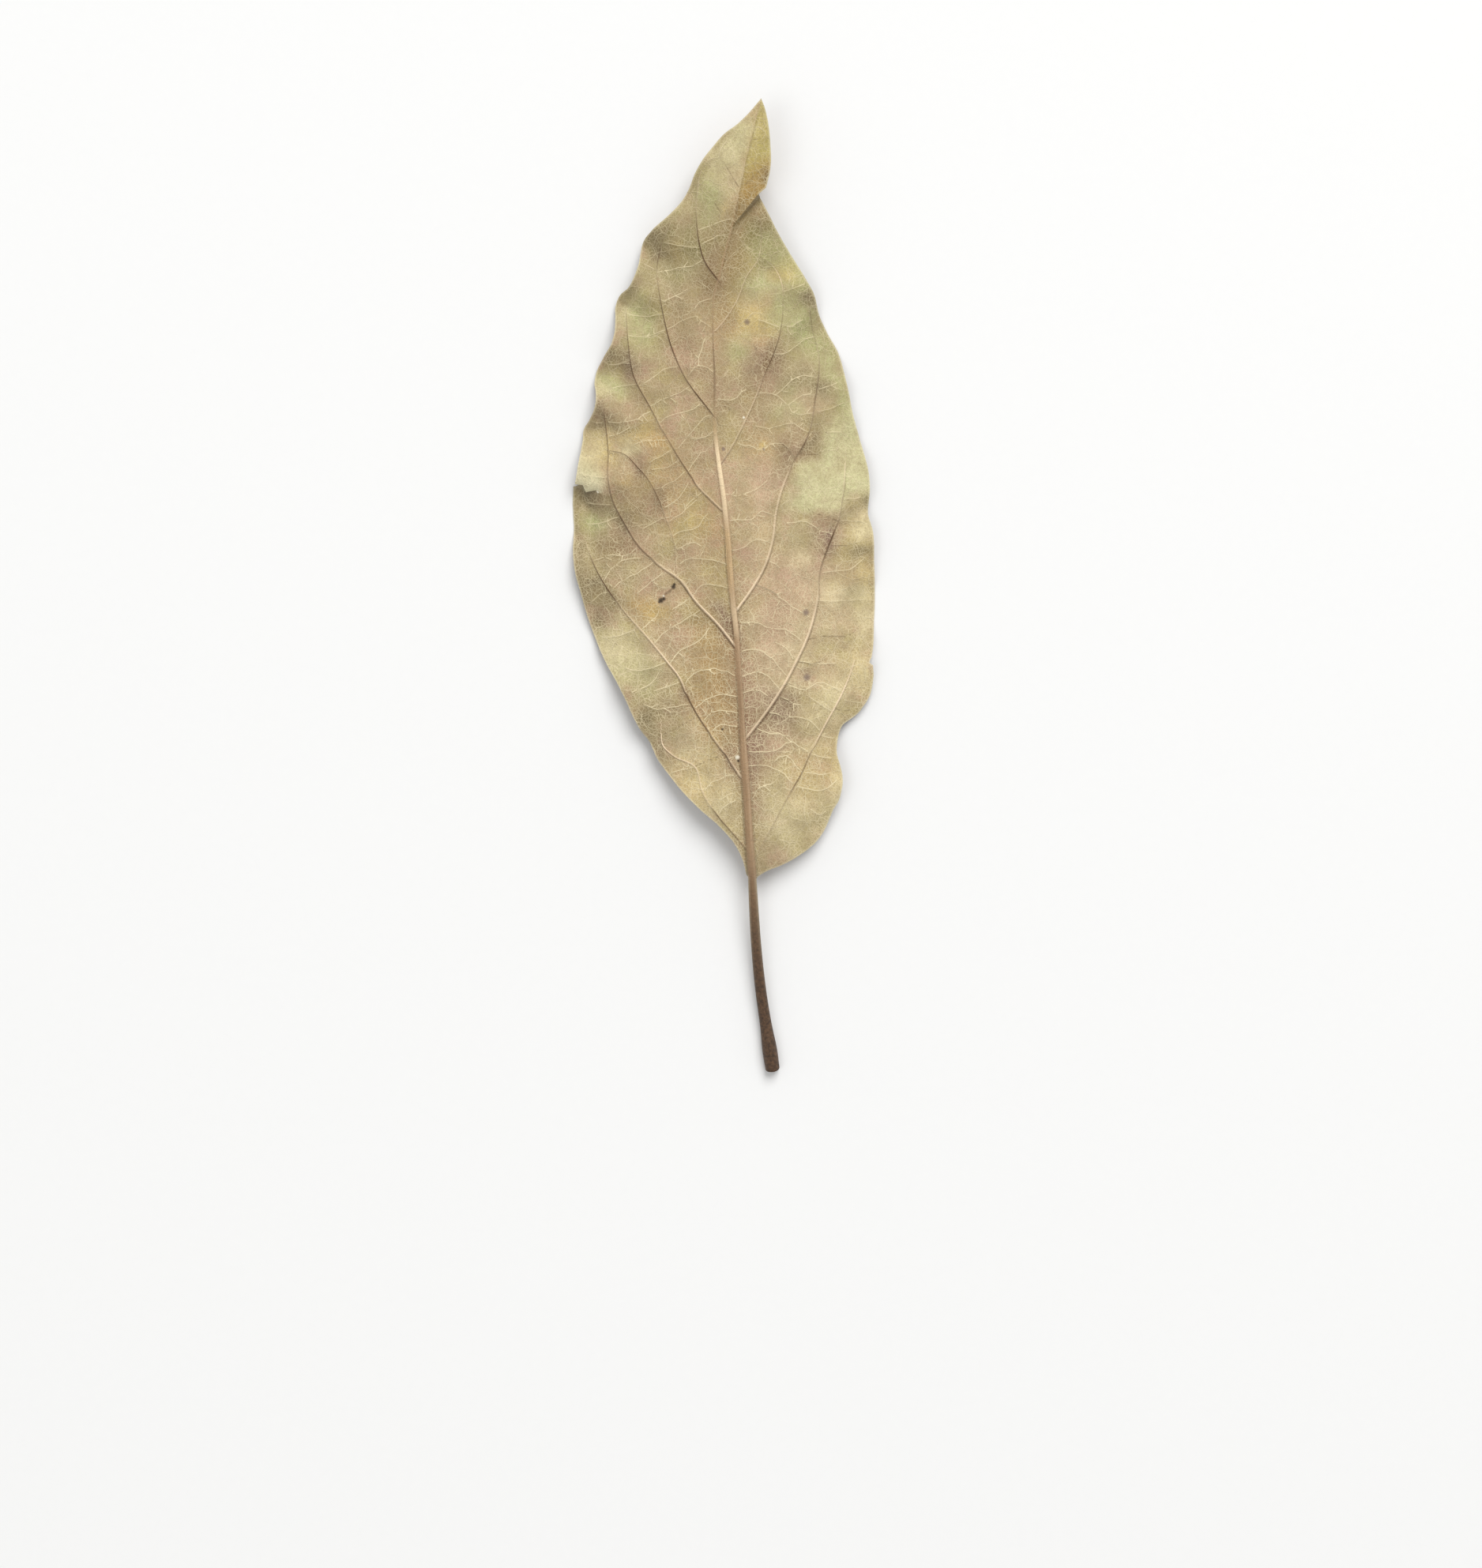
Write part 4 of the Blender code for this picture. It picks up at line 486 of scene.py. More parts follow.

# Where the blade has turned another colour, and painted shade in the shade patches: the screen colour, the most that
# it covers, and its soft patches, as (x, y, radius along X, radius along Y, tilt in degrees, strength).
PATCHES = {
    "olive": ((160, 152, 102), 0.85, [
        (12.6, 80, 2.8, 1.5, 20, 0.8), (12, 76, 2.4, 1.7, 30, 0.8), (20.8, 67.4, 1.6, 1.6, 0, 0.7),
        (4, 110, 6, 6, 20, 0.75), (13.5, 92, 4.4, 9, 20, 0.75), (-2.6, 105, 2.6, 8, 0, 0.55),
        (9.5, 101, 5, 5, 20, 0.6), (-10.5, 111, 5, 6, 10, 0.75), (8, 88, 5, 3.6, 20, 0.6),
        (-13, 117, 3, 1.6, 40, 0.7), (-19.8, 106, 2, 2.6, 20, 0.5), (-26, 57, 4, 4, 0, 0.6),
        (18, 86.5, 2.6, 5, 12, 0.4), (-17, 33, 3.6, 4, 20, 0.45), (13.6, 12.4, 2.4, 2.4, 0, 0.4),
        (-21, 53, 3.6, 2.6, -20, 0.4), (15.6, 63.4, 4, 1.4, 15, 0.3), (-8.6, 124, 2, 4, -35, 0.5),
    ]),
    "pink": ((212, 176, 148), 0.85, [
        (2.5, 68, 4, 9, -5, 0.8), (5, 40, 4.5, 9, -10, 0.9), (9, 50, 4.5, 7, -10, 0.7), (-4.6, 70, 1.2, 6, 8, 0.7),
        (10.8, 83, 3, 1.6, 10, 0.7), (-13.5, 40.5, 4, 4, 30, 0.5), (3, 52, 3, 8, 0, 0.6), (15, 48, 3, 3, 0, 0.5),
    ]),
    "ochre": ((192, 152, 92), 0.85, [
        (-1.8, 113, 2, 6.5, -17, 0.5), (1.6, 116.4, 2.4, 2, 30, 0.3), (-5.5, 34, 4.6, 14, 6, 0.9),
        (-16.5, 76.3, 3.2, 2.2, -20, 0.8), (-2, 107, 1.8, 7, -6, 0.7), (-5.5, 62, 3, 8, 10, 0.4),
        (-17.5, 47.2, 3.4, 2.2, -30, 0.9), (18, 52.6, 3.4, 1.5, 20, 0.5), (-14, 70, 5, 6, 40, 0.45),
        (2, 76, 4, 4, 0, 0.35), (-9.5, 15.5, 4.5, 4.5, 30, 0.5), (-4.5, 97.5, 2, 6, 0, 0.5),
        (9.5, 18, 3, 4, -20, 0.35),
    ]),
    "brown": ((150, 120, 92), 0.8, [
        (10.4, 62.6, 2.4, 1, -25, 0.5), (2, 84, 5, 5, 0, 0.5), (3, 91, 4, 4, 0, 0.6), (4, 78, 5, 3, 20, 0.35),
        (-12, 95, 3.8, 9, 12, 0.65), (-6, 84, 2.4, 9, 0, 0.55), (-20.5, 66.5, 4.6, 5, 30, 0.7),
        (8, 74.5, 3.2, 2.6, 40, 0.7), (-18.5, 84, 3.2, 4, 25, 0.5), (1.6, 84.5, 4, 4, 0, 0.5),
        (6, 46, 3.6, 4, 0, 0.3), (-27, 51.2, 2.6, 1.8, -20, 0.6), (-17.6, 30, 2.6, 2.4, 0, 0.3),
        (20.4, 56.8, 1.8, 1.4, 0, 0.3), (14.2, 57.6, 1.8, 3, -25, 0.6), (-23, 58.5, 4, 3, -20, 0.8),
        (-9, 74, 3, 5, 35, 0.45), (19, 55, 1.8, 1.2, 10, 0.6), (13, 76.4, 2.2, 1.8, 20, 0.6),
        (8.8, 78.2, 2, 1.4, 20, 0.4), (7, 93, 3, 3, 0, 0.35), (-12, 56, 4, 4, 0, 0.3), (-1.6, 26, 1.8, 12, 4, 0.5),
        (-7, 46, 4, 3, 0, 0.35), (-6, 116, 1.6, 3, 0, 0.3), (-24, 48.6, 4.6, 1.8, -25, 0.6),
        (-11, 101.5, 4, 2.6, 0, 0.4),
    ]),
    "green": ((188, 198, 134), 0.85, [
        (14.6, 76.5, 1.6, 4, -15, 0.4), (5, 99.6, 1.6, 3, 0, 0.8), (7.6, 85.2, 2.2, 2, 0, 0.35),
        (-6.3, 119, 2.6, 5, -10, 0.8), (-1.6, 128.6, 2.4, 5, -42, 0.7), (3, 104.6, 4, 3, 0, 0.7),
        (9.4, 97.6, 3.4, 6.5, 15, 0.65), (8, 107, 3, 6, 28, 0.6), (-19, 97.6, 2.8, 4.6, 15, 0.75),
        (-23.8, 86.6, 3.4, 2, -30, 0.9), (-26.8, 62.4, 2.2, 2.6, 0, 0.8), (-22.6, 39.4, 3.2, 3.8, 25, 1),
        (-28, 70.4, 2.2, 1.8, 0, 0.7), (14.8, 90, 2.6, 5, 15, 0.6), (7.4, 82, 3.4, 1.7, 15, 0.6),
        (-1.7, 92.2, 1.7, 2.4, -20, 0.7), (-12.8, 107, 4, 4.6, 0, 0.3), (17.4, 82, 1.6, 5, 10, 0.5),
        (2.4, 111.4, 4.6, 3.2, 0, 0.45), (-17, 35.5, 3.4, 3.4, 0, 0.45),
    ]),
    "yellow": ((222, 192, 110), 0.85, [
        (-12.2, 110, 1.4, 2, 0, 0.6), (-3.8, 117.2, 0.9, 2, -20, 0.5), (0.5, 107, 1.2, 2, 0, 0.4),
        (12, 16, 4, 7, -25, 0.3), (14, 32, 3, 6, -30, 0.3), (-8, 16, 4, 5, 40, 0.25), (21, 53, 1.4, 2.2, 0, 0.6),
        (19.8, 61, 1.3, 2.4, 0, 0.5), (-21.4, 69.6, 1.4, 1.2, 0, 0.4), (-9, 63, 3, 2, -40, 0.4),
        (-13, 61, 2, 2, -40, 0.5), (-17.6, 78.6, 2.6, 1.4, -20, 0.5), (1.6, 97.8, 2.8, 3.2, 0, 0.95),
        (6.6, 106.2, 2.4, 1.8, 0, 0.7), (-25.8, 74.8, 2.2, 2.2, 0, 0.9), (-16.2, 46.6, 2.2, 1.8, -30, 0.6),
        (-9.4, 15.8, 4, 3.4, 30, 0.5), (1.6, 130, 1.6, 7, -12, 0.5), (20.3, 36.4, 1.8, 3.2, 0, 0.7),
        (15.8, 18.4, 1.8, 3.6, 0, 0.6), (-22.8, 41, 2.2, 2, 0, 0.6), (-22, 77.2, 2, 1.2, 0, 0.5),
        (2.9, 75.1, 0.9, 0.7, 0, 0.7), (-1.4, 98.6, 1.4, 3.4, 0, 0.5),
    ]),
    "pale": ((234, 220, 172), 0.85, [
        (-20.2, 75.2, 1.9, 1.8, 0, 1), (-4.3, 47.1, 0.8, 1, 30, 0.35), (1, 43, 1, 2.4, -20, 0.25),
        (-0.6, 128, 1.2, 5, -17, 0.45), (-2.2, 121.5, 1.2, 4, -14, 0.2), (20.8, 62.4, 1, 1.6, 0, 0.5),
        (18.6, 49.4, 3.6, 3, 0, 0.75), (-22, 38, 4, 4, 20, 0.4), (15, 13, 2.4, 4, -20, 0.6),
        (-26.4, 75, 2.4, 2, 0, 0.5), (-4, 126.6, 2, 3.4, -42, 0.5), (-23.4, 40.4, 2.4, 2.4, 20, 0.6),
        (-10, 24, 2.4, 3, 30, 0.3), (1.6, 98, 2, 1.6, 0, 0.3), (20.6, 62, 1.4, 1.8, 0, 0.9),
        (14, 30, 4, 8, -30, 0.4), (-8, 18, 5, 7, 40, 0.4), (7, 10, 6, 8, 0, 0.45), (-4, 12, 3, 5, 0, 0.4),
        (7, 37, 4, 6, 0, 0.25), (-29, 71, 1.6, 3.4, 0, 0.5), (-22.4, 40.4, 3.4, 3, 20, 0.7),
        (-8, 14, 4, 4, 40, 0.35), (8, 10, 5, 6, 0, 0.3), (5, 33, 3, 4, 0, 0.3), (-22.6, 39.2, 2.4, 2.8, 20, 0.6),
        (-28.2, 70.2, 1.8, 1.6, 0, 0.8), (13.8, 46, 3, 6, -12, 0.25), (15, 31.5, 3.4, 6, -35, 0.6),
        (20.8, 47, 1.4, 7, 0, 0.6), (-2.6, 127.6, 1.8, 3.6, -42, 0.5), (20.6, 36.4, 1.6, 2.6, 0, 0.5),
        (-25.4, 86.2, 1.8, 1.4, -20, 0.6), (19.6, 61, 1.3, 2.8, 0, 0.6), (-27.4, 73.4, 1.6, 2, 0, 0.5),
        (16, 18, 1.4, 3.4, 0, 0.5), (-21.6, 99.6, 1.3, 3, 0, 0.4), (9.6, 40.6, 2.2, 5, -15, 0.4),
        (19.8, 73, 1.6, 5, 8, 0.6), (14, 51.6, 2.6, 2.4, 0, 0.5), (9.4, 57.6, 2.4, 4, 0, 0.4),
        (18.8, 49.6, 2.4, 2, 0, 0.4), (20.8, 46, 1.2, 3, 0, 0.4), (20.8, 36.2, 1.2, 2.2, 0, 0.4),
        (-23.2, 40.4, 2, 2, 20, 0.5), (-3.2, 126.5, 2.4, 6, -35, 0.3), (-25.4, 69.4, 1.4, 0.9, 0, 0.5),
        (17.8, 63.9, 1.4, 0.9, 0, 0.4), (-22, 77.2, 2, 1, 0, 0.3),
    ]),
    "purple": ((128, 98, 90), 0.85, [
        (1.7, 27, 0.8, 2.2, 10, 0.3), (2, 36, 1.4, 3, 0, 0.12), (6.6, 29.4, 3.6, 3, -30, 0.6),
        (3.2, 91.2, 3, 2, 15, 0.4), (-4.4, 46.4, 1.6, 3, 33, 0.4), (7.4, 73.6, 2, 3.2, -25, 0.45),
        (5.4, 69.5, 1.4, 3, -10, 0.3), (13.6, 59.8, 2.8, 2.4, 20, 0.45), (3, 90.2, 4, 2.6, 20, 0.45),
        (-3.2, 44, 1.6, 4, 33, 0.4), (5, 30.6, 4, 3.6, -30, 0.35), (-1.5, 103, 3, 6, -10, 0.2),
        (3.8, 89.8, 2.6, 1.6, 15, 0.4), (-5.8, 106, 2.2, 4.4, 8, 0.3), (-20.6, 90.2, 1.9, 2.9, 10, 0.85),
        (-15.2, 109.8, 1.5, 1.3, 0, 0.6), (-18.8, 71.8, 1.8, 1.3, -30, 0.8), (-15.6, 66.8, 1.6, 1.3, 0, 0.6),
        (14.9, 59.6, 0.9, 2.8, -22, 1), (-3.7, 44.2, 1.1, 3.8, 33, 1), (-10.2, 31.9, 1.3, 2, 35, 0.8),
        (5.8, 29.2, 3, 3, -30, 0.75), (2.6, 24, 1.6, 3.6, -25, 0.55), (-20.8, 61.6, 1.6, 2.2, 30, 0.6),
        (-2.4, 20.2, 1.1, 3.4, 20, 0.8), (1.2, 21, 1, 6, 0, 0.5), (10.7, 35.4, 1.2, 1, 0, 0.6),
        (-25.2, 82.4, 2.4, 1.5, -30, 0.7), (10.6, 77, 2, 1, 45, 0.4),
    ]),
    "umber": ((110, 82, 46), 0.85, [
        (-6.5, 105, 1.8, 2.8, -20, 0.75), (-15, 66, 1.8, 2.2, 0, 0.6), (-2.4, 112, 2, 6, -17, 0.2),
        (-2.4, 36, 0.8, 4, 3, 0.2), (3.5, 90, 2.3, 1.5, 20, 0.8), (-5.8, 106, 2, 4.4, 8, 0.6),
        (-15.2, 109.8, 1.5, 1.3, 0, 0.4), (-18.7, 71.7, 1.4, 1.2, -30, 0.5), (-25.2, 82.4, 2.4, 1.5, -30, 0.4),
        (-10.2, 31.9, 1.3, 2, 35, 0.4), (-22.6, 59.6, 2.2, 3, 25, 0.35), (-24.2, 57.3, 2, 1.6, 0, 0.35),
        (-3.3, 43.2, 1, 2.6, 33, 0.5), (-5, 34, 3.4, 9, 6, 0.25), (2.4, 26, 2, 5, -20, 0.25),
        (4, 91.4, 0.8, 3.4, -20, 0.5), (3.7, 122.3, 0.9, 1.3, 0, 1), (3.8, 122.2, 0.6, 0.8, 0, 1),
        (2, 116, 3.2, 2.4, 20, 0.4), (-2.6, 111, 2.6, 4, -15, 0.35), (-6.9, 104, 1.8, 2.6, 10, 0.35),
        (11, 73.8, 1.2, 2.2, -20, 0.35), (-6, 112.6, 3, 3, 0, 0.25), (-3.4, 97, 1.6, 4.4, 0, 0.25),
        (-19.2, 64.8, 2, 2.4, 20, 0.3), (6.6, 74.8, 1.2, 2.6, -25, 0.35), (-12.4, 40.2, 2, 2, 0, 0.2),
        (-29.4, 58, 1, 2.6, 0, 0.4), (8.2, 31, 1.4, 2.4, -30, 0.3),
    ]),
    # Partly painted shade in the margin's hollows, below the tear's flap and below the tip's fold, partly darker
    # blade.
    "shade": ((112, 100, 70), 0.85, [
        (-15.6, 113, 2.9, 1.9, 25, 0.95), (-12.6, 108.8, 4.2, 5.4, 10, 0.6), (-20.8, 103.6, 1.3, 2.6, -40, 0.7),
        (-24.2, 91.9, 1.7, 1.3, -20, 1), (-21.8, 92, 2.6, 1.6, -30, 0.5), (-25.6, 82, 2.4, 1.3, -25, 0.8),
        (-25.4, 79.8, 3.6, 0.8, -8, 0.7), (-21, 79.6, 4, 1, -5, 0.4), (-27.6, 66.8, 2.6, 1, -15, 1),
        (-25, 64.9, 3.4, 1.6, -35, 0.7), (-22.4, 62.8, 3, 1.3, -35, 0.5), (-27.2, 51, 2.6, 2.1, -20, 1),
        (-24.6, 49.6, 2.6, 1.3, -25, 1), (-26, 46, 1.8, 2, 20, 0.7), (-17.2, 27.6, 2.6, 2, 20, 0.8),
        (-14, 25.6, 3, 2.6, 0, 0.4), (-15.4, 22.4, 1.4, 2.6, 35, 0.85), (-18, 27.4, 1.3, 1.6, 20, 0.6),
        (20.9, 57.6, 2.4, 1.3, 10, 0.8), (12.9, 86.4, 1.8, 1.5, 20, 1), (11.4, 102, 1.7, 2.8, 28, 1),
        (8.6, 88, 3.4, 1.8, 20, 0.5), (10.6, 76, 3.6, 1.1, 45, 0.75), (2.8, 114.6, 3, 3.4, 30, 0.45),
        (-0.6, 117.4, 2.6, 0.9, 62, 0.35), (3.6, 122.3, 1.1, 1.5, 0, 0.4), (2.2, 122.2, 1.4, 0.6, 10, 0.4),
        (17.3, 27.4, 1.6, 1.2, 40, 0.7), (-30.2, 62, 0.9, 6, 0, 0.5), (2.4, 115.4, 2.4, 2, 30, 0.3),
        (16.2, 62.4, 1.4, 0.8, 0, 0.3), (21.3, 66, 1, 1.6, 0, 0.5), (-4, 113, 1.6, 3.4, -20, 0.4),
        (-9.8, 113.4, 2, 4, -10, 0.4), (-13.4, 29.6, 2.6, 2, 0, 0.35), (-29.4, 55, 1.2, 4, 0, 0.45),
        (-8, 9.4, 1.6, 1.6, 0, 0.4),
    ]),
    "moss": ((116, 110, 40), 0.85, [
        (1.4, 112.2, 3.4, 4, 0, 0.6), (-9.5, 113, 2, 3.4, 0, 0.45), (-6.2, 112.6, 1.4, 2.4, 0, 0.4),
        (-2.4, 105, 1.6, 4.6, -5, 0.45), (-13.4, 113.6, 1.6, 1.6, 0, 0.4), (-6, 100.4, 1.8, 2.4, 0, 0.3),
    ]),
}

# A pale green field fills the corner between two side veins and the right margin.
GREEN_FIELD = [
    (6.6, 64.8), (8.2, 69), (10.6, 72.4), (13.2, 74.4), (14.6, 78.4), (18, 84), (24, 80), (24, 68.4), (19.6, 67.6),
    (17, 66), (15.6, 64.6), (11, 63.8),
]
GREEN_FIELD_EDGE = 3.0

# How patches' borders wander, as waves that cross each other: (waviness along X, along Y, phase, reach).
WANDERS = [(0.7, 0.45, 0, 0.35), (-0.5, 0.85, 1.7, 0.3), (1.4, -0.9, 2.9, 0.22), (0.9, 1.7, 0.6, 0.2)]

# Marks of (x, y, radius, depth): pits eaten into the blade, soft purple spots and pale specks. Their soft rim is this
# share of their radius. A thin scar runs up to two of the pits.
PITS = [
    (-12.85, 50.95, 0.36, 0.16), (-12.7, 51.35, 0.24, 0.1), (-15.05, 48.6, 0.44, 0.18), (-14.55, 48.85, 0.3, 0.12),
    (-15.35, 48.35, 0.24, 0.1), (-1.45, 20.35, 0.2, 0.1), (-4.25, 25.9, 0.2, 0.06),
]
SPOTS = [
    (10.45, 46.5, 0.5, 0), (10.6, 35.1, 0.55, 0), (0.1, 97.5, 0.45, 0), (-4.05, 75, 0.3, 0), (3, 75.1, 0.2, 0),
    (-0.5, 48, 0.12, 0),
]
SPECKS = [(-1.6, 21, 0.34, -0.12), (-0.5, 80.6, 0.2, -0.14), (-26.3, 67.6, 0.2, -0.1), (-14.6, 49.4, 0.16, -0.02)]
MARK_SOFTNESS = 0.45
SCAR = [(-14.6, 49.2), (-14.3, 49.7), (-13.7, 50.1), (-13.1, 50.6)]
SCAR_HALF_WIDTH = 0.14

# The measures that the material reads from the mesh.
SHADER_MEASURES = [
    "top", "edge_gap", "rib_across", "rib_tone", "rib_bold", "rib_ochre", "rib_side", "rib_edge", "valley_shade",
    "stalk", "vein_across", "vein_pale", "vein_dark_and_shade", "net_gap", "net_bold", "dark_gap", "field", "shadow",
    "past_fold", "flap", "pit", "spot", "speck", "scar", *PATCHES,
]
MAP_EDGE = 0.01


def colour(red, green, blue):
    """Turns screen values of 0 to 255 into a shader colour."""
    parts = [((c / 255 + 0.055) / 1.055) ** 2.4 for c in (red, green, blue)]
    return (*parts, 1.0)


TAN = colour(194, 168, 130)
OLIVE = colour(180, 164, 116)
ROSE = colour(204, 160, 138)
STRAW = colour(192, 178, 108)
GREEN = colour(216, 216, 162)
SHADE = colour(120, 102, 70)
DEEP = colour(140, 120, 86)
NET = colour(232, 216, 176)
CREAM = colour(242, 218, 184)
VEIN_BROWN = colour(94, 68, 42)
FOLDED = colour(174, 134, 52)
FOLDED_PALE = colour(193, 181, 97)
FOLD_DARK = colour(104, 88, 50)
VALLEY_SHADE = colour(118, 90, 44)
FLAP = colour(250, 246, 206)
SHADOW = colour(84, 72, 50)
RIM = colour(230, 220, 184)
SPOT = colour(120, 100, 92)
PIT = colour(58, 44, 30)
SPECK = colour(238, 230, 208)
UNDER_BROWN = colour(158, 122, 74)
UNDER_OLIVE = colour(150, 130, 78)
UNDER_DARK = colour(112, 84, 50)
UNDER_VEIN = colour(194, 158, 108)
RIB_CREAM = colour(242, 218, 178)
RIB_TAN = colour(171, 140, 106)
RIB_YELLOW = colour(206, 174, 128)
RIB_BROWN = colour(148, 116, 82)
BESIDE_LEFT = colour(140, 102, 68)
BESIDE_RIGHT = colour(130, 86, 78)
STALK_DARK = colour(58, 42, 30)
STALK_BROWN = colour(96, 70, 48)

# Smooth noises, as (bumps a millimetre, detail, roughness), and how all but the tone's are turned, in radians.
NOISES = {
    "cloud": (0.07, 3.0, 0.55),
    "mottle": (0.28, 4.0, 0.6),
    "grain": (1.7, 3.0, 0.7),
    "fibre": (4.6, 2.0, 0.6),
}
NOISE_TURN = (0.6, 0.5, 0.7)
TONE_NOISE = (0.2, 3.0, 0.6)

# The fine net's cells: how many a millimetre, the ramp from their edges inwards, the most that the net's colour
# covers there, and their relief. Noise pushes them about, as (bumps a millimetre, reach).
NET_CELLS = {
    "coarse": (0.34, (0.02, 0.1, 1.0, 0.0), 0.46, 0.035),
    "fine": (0.85, (0.0, 0.09, 1.0, 0.0), 0.44, 0.03),
    "finest": (1.9, (0.0, 0.08, 1.0, 0.0), 0.32, 0.015),
}
CELL_RANDOMNESS = 0.95
NET_WARP = (0.45, 0.8)

# The relief of the noises in millimetres.
NOISE_HEIGHTS = {"grain": 0.06, "fibre": 0.03, "mottle": 0.1}

# Ramps, each as (start, end) of what it follows, then its outcomes at both if they aren't 0 and 1. The net's come
# first: its cells and strands show less where the mottling is low, and a strand fades with the distance from it.
CELL_MOTTLE = (0.3, 0.65, 0.5, 1.1)
STRAND_LINE = (0.0, 0.12, 1.0, 0.0)
STRAND_MOTTLE = (0.3, 0.6, 0.5, 0.85)

# The tip is folded right of the midrib. Its crease, its second tint and the shadow below it follow the distance past
# the fold.
RIGHT_OF_RIB = (0.2, 1.4)
FOLD_CREASE = (0.0, 0.15)
FOLD_TINT = (2.0, 7.5)
FOLDED_SHARE = 0.9
FOLD_SHADOW = (-2.15, 0.05)
FOLD_SHADOW_BEND = 1.6
FOLD_SHADOW_SHARE = 0.55

# The patches and the green field are broken up by the mottling.
PATCH_MOTTLE = (0.25, 0.65, 0.75, 1.15)
GREEN_FIELD_SHARE = 0.72

# What lies beside the midrib follows the distance from its crest, in half-widths of the midrib.
BESIDE_RIB = (-1.0, 1.0)
BESIDE_LEFT_SHARE = 0.6
BESIDE_MOTTLE = (0.2, 0.6, 0.7, 1.1)
VALLEY_ACROSS = (1.0, 3.9, 1.0, 0.0)

# The side veins, in their half-widths: their pale crests, their dark lines, and how far a pale crest moves its line to
# the vein's lower side, where it is painted shade.
VEIN_CREST = (0.55, 1.15, 1.0, 0.0)
VEIN_LINE = (0.4, 1.15, 1.0, 0.0)
VEIN_LINE_SHIFT = (0.05, 0.3, 0.0, 1.4)

# The midrib, in its half-widths: its body with lengthwise stripes, a painted highlight right of its crest, its cream
# and dark tones, its dark edges, the left one deepened by painted shade.
RIB_BODY = (0.8, 1.2, 0.9, 0.0)
RIB_GRAIN = (2.6, 3.0, 0.55)
RIB_GRAIN_STRETCH = 0.06
RIB_STRIPES = (0.4, 0.62, 0.0, 0.5)
RIB_HIGHLIGHT_START = (0.15, 0.5)
RIB_HIGHLIGHT_END = (0.6, 0.95, 1.0, 0.0)
RIB_HIGHLIGHT_SHARE = 0.15
RIB_PALE = (0.6, 1.1, 0.95, 0.0)
RIB_DARK = (0.3, 1.0, 1.0, 0.0)
RIB_EDGE_PLACE = 1.25
RIB_EDGE_LINE = (0.1, 0.45, 1.0, 0.0)
RIB_EDGE_SIDES = (-1.0, 1.0, 1.0, 0.6)

# Washes, each as (what its share follows, the share's ramp, colour), in the order that they are laid.
FIRST_WASHES = [
    ("cloud", (0.38, 0.66), OLIVE),
    ("edge_gap", (0.0, 9.0, 0.5, 0.0), OLIVE),
    ("tone", (0.48, 0.68, 0.0, 0.6), ROSE),
    ("tone", (0.32, 0.5, 0.5, 0.0), STRAW),
]
GRAIN_WASHES = [
    ("mottle", (0.3, 0.7, 0.2, 0.0), SHADE),
    ("grain", (0.3, 0.65, 0.32, 0.0), DEEP),
    ("fibre", (0.35, 0.65, 0.32, 0.0), DEEP),
]
STRAND_WASHES = [("dark_gap", (0.02, 0.2, 0.5, 0.0), VEIN_BROWN)]
RIM_WASHES = [("edge_gap", (0.05, 0.4, 0.4, 0.0), RIM)]
UNDER_WASHES = [("cloud", (0.35, 0.65), UNDER_OLIVE), ("mottle", (0.3, 0.7, 0.5, 0.0), UNDER_DARK)]
UNDER_VEIN_WASHES = [
    ("beside_rib", (0.7, 1.2, 0.7, 0.0), UNDER_VEIN),
    ("beside_vein", (0.6, 1.6, 0.5, 0.0), UNDER_VEIN),
]
UNDER_NET_SHARE = 0.35

# Covers, each as (what its share follows, most share, colour).
FLAP_COVERS = [("flap", 0.95, FLAP)]
TEAR_COVERS = [("shadow", 0.85, SHADOW)]
MARK_COVERS = [("scar", 0.6, VEIN_BROWN), ("spot", 0.75, SPOT), ("pit", 0.95, PIT), ("speck", 0.9, SPECK)]

# The stalk's bark, and the finish of the whole skin.
BARK_GRAIN = (0.3, 0.7)
SKIN_ROUGHNESS = (0.3, 0.7, 0.74, 0.6)
SKIN_FINISH = {"Metallic": 0.0, "Specular IOR Level": 0.3, "Sheen Weight": 0.08, "Sheen Roughness": 0.6}

# The stage, in metres.
FLOOR_SIZE = 6.0
FLOOR_GAP = 0.00002
FLOOR_COLOUR = (0.875, 0.875, 0.865, 1.0)
FLOOR_FLECK = 0.985
FLOOR_GRAIN = (0.6, 2.0, 0.55)
FLOOR_ROUGHNESS = 0.8
WORLD_COLOUR = (1.0, 1.0, 1.0, 1.0)
WORLD_STRENGTH = 0.5
LAMPS = [("key", (0.7, 1.75, 2.2), 2.2, 64.0), ("fill", (-1.2, -0.8, 2.4), 1.6, 10.0)]

# The photograph's frame in its own pixels, the pixel of the plan's origin, and how many make a millimetre.
PHOTO_SIZE = (1876, 1985)
PHOTO_ORIGIN = (945, 1110)
PHOTO_PER_MM = 7.2
SENSOR = 36.0
CAMERA_DISTANCE = 0.6
CAMERA_NEAREST = 0.01
LEAF_MIDDLE = 0.005


def run_along(line):
    """Returns how far along a polyline each of its points is."""
    return np.concatenate([[0.0], np.cumsum(np.linalg.norm(np.diff(line, axis=0), axis=1))])


def leftward(line):
    """Returns the direction to the left of a polyline at each of its points."""
    ahead = np.gradient(line, axis=0)
    ahead /= np.linalg.norm(ahead, axis=1)[:, None]
    return np.column_stack([-ahead[:, 1], ahead[:, 0]])


def beside(line, distance):
    """Returns the line moved sideways by a distance, or by one distance for each point."""
    return line + leftward(line) * np.reshape(distance, (-1, 1))


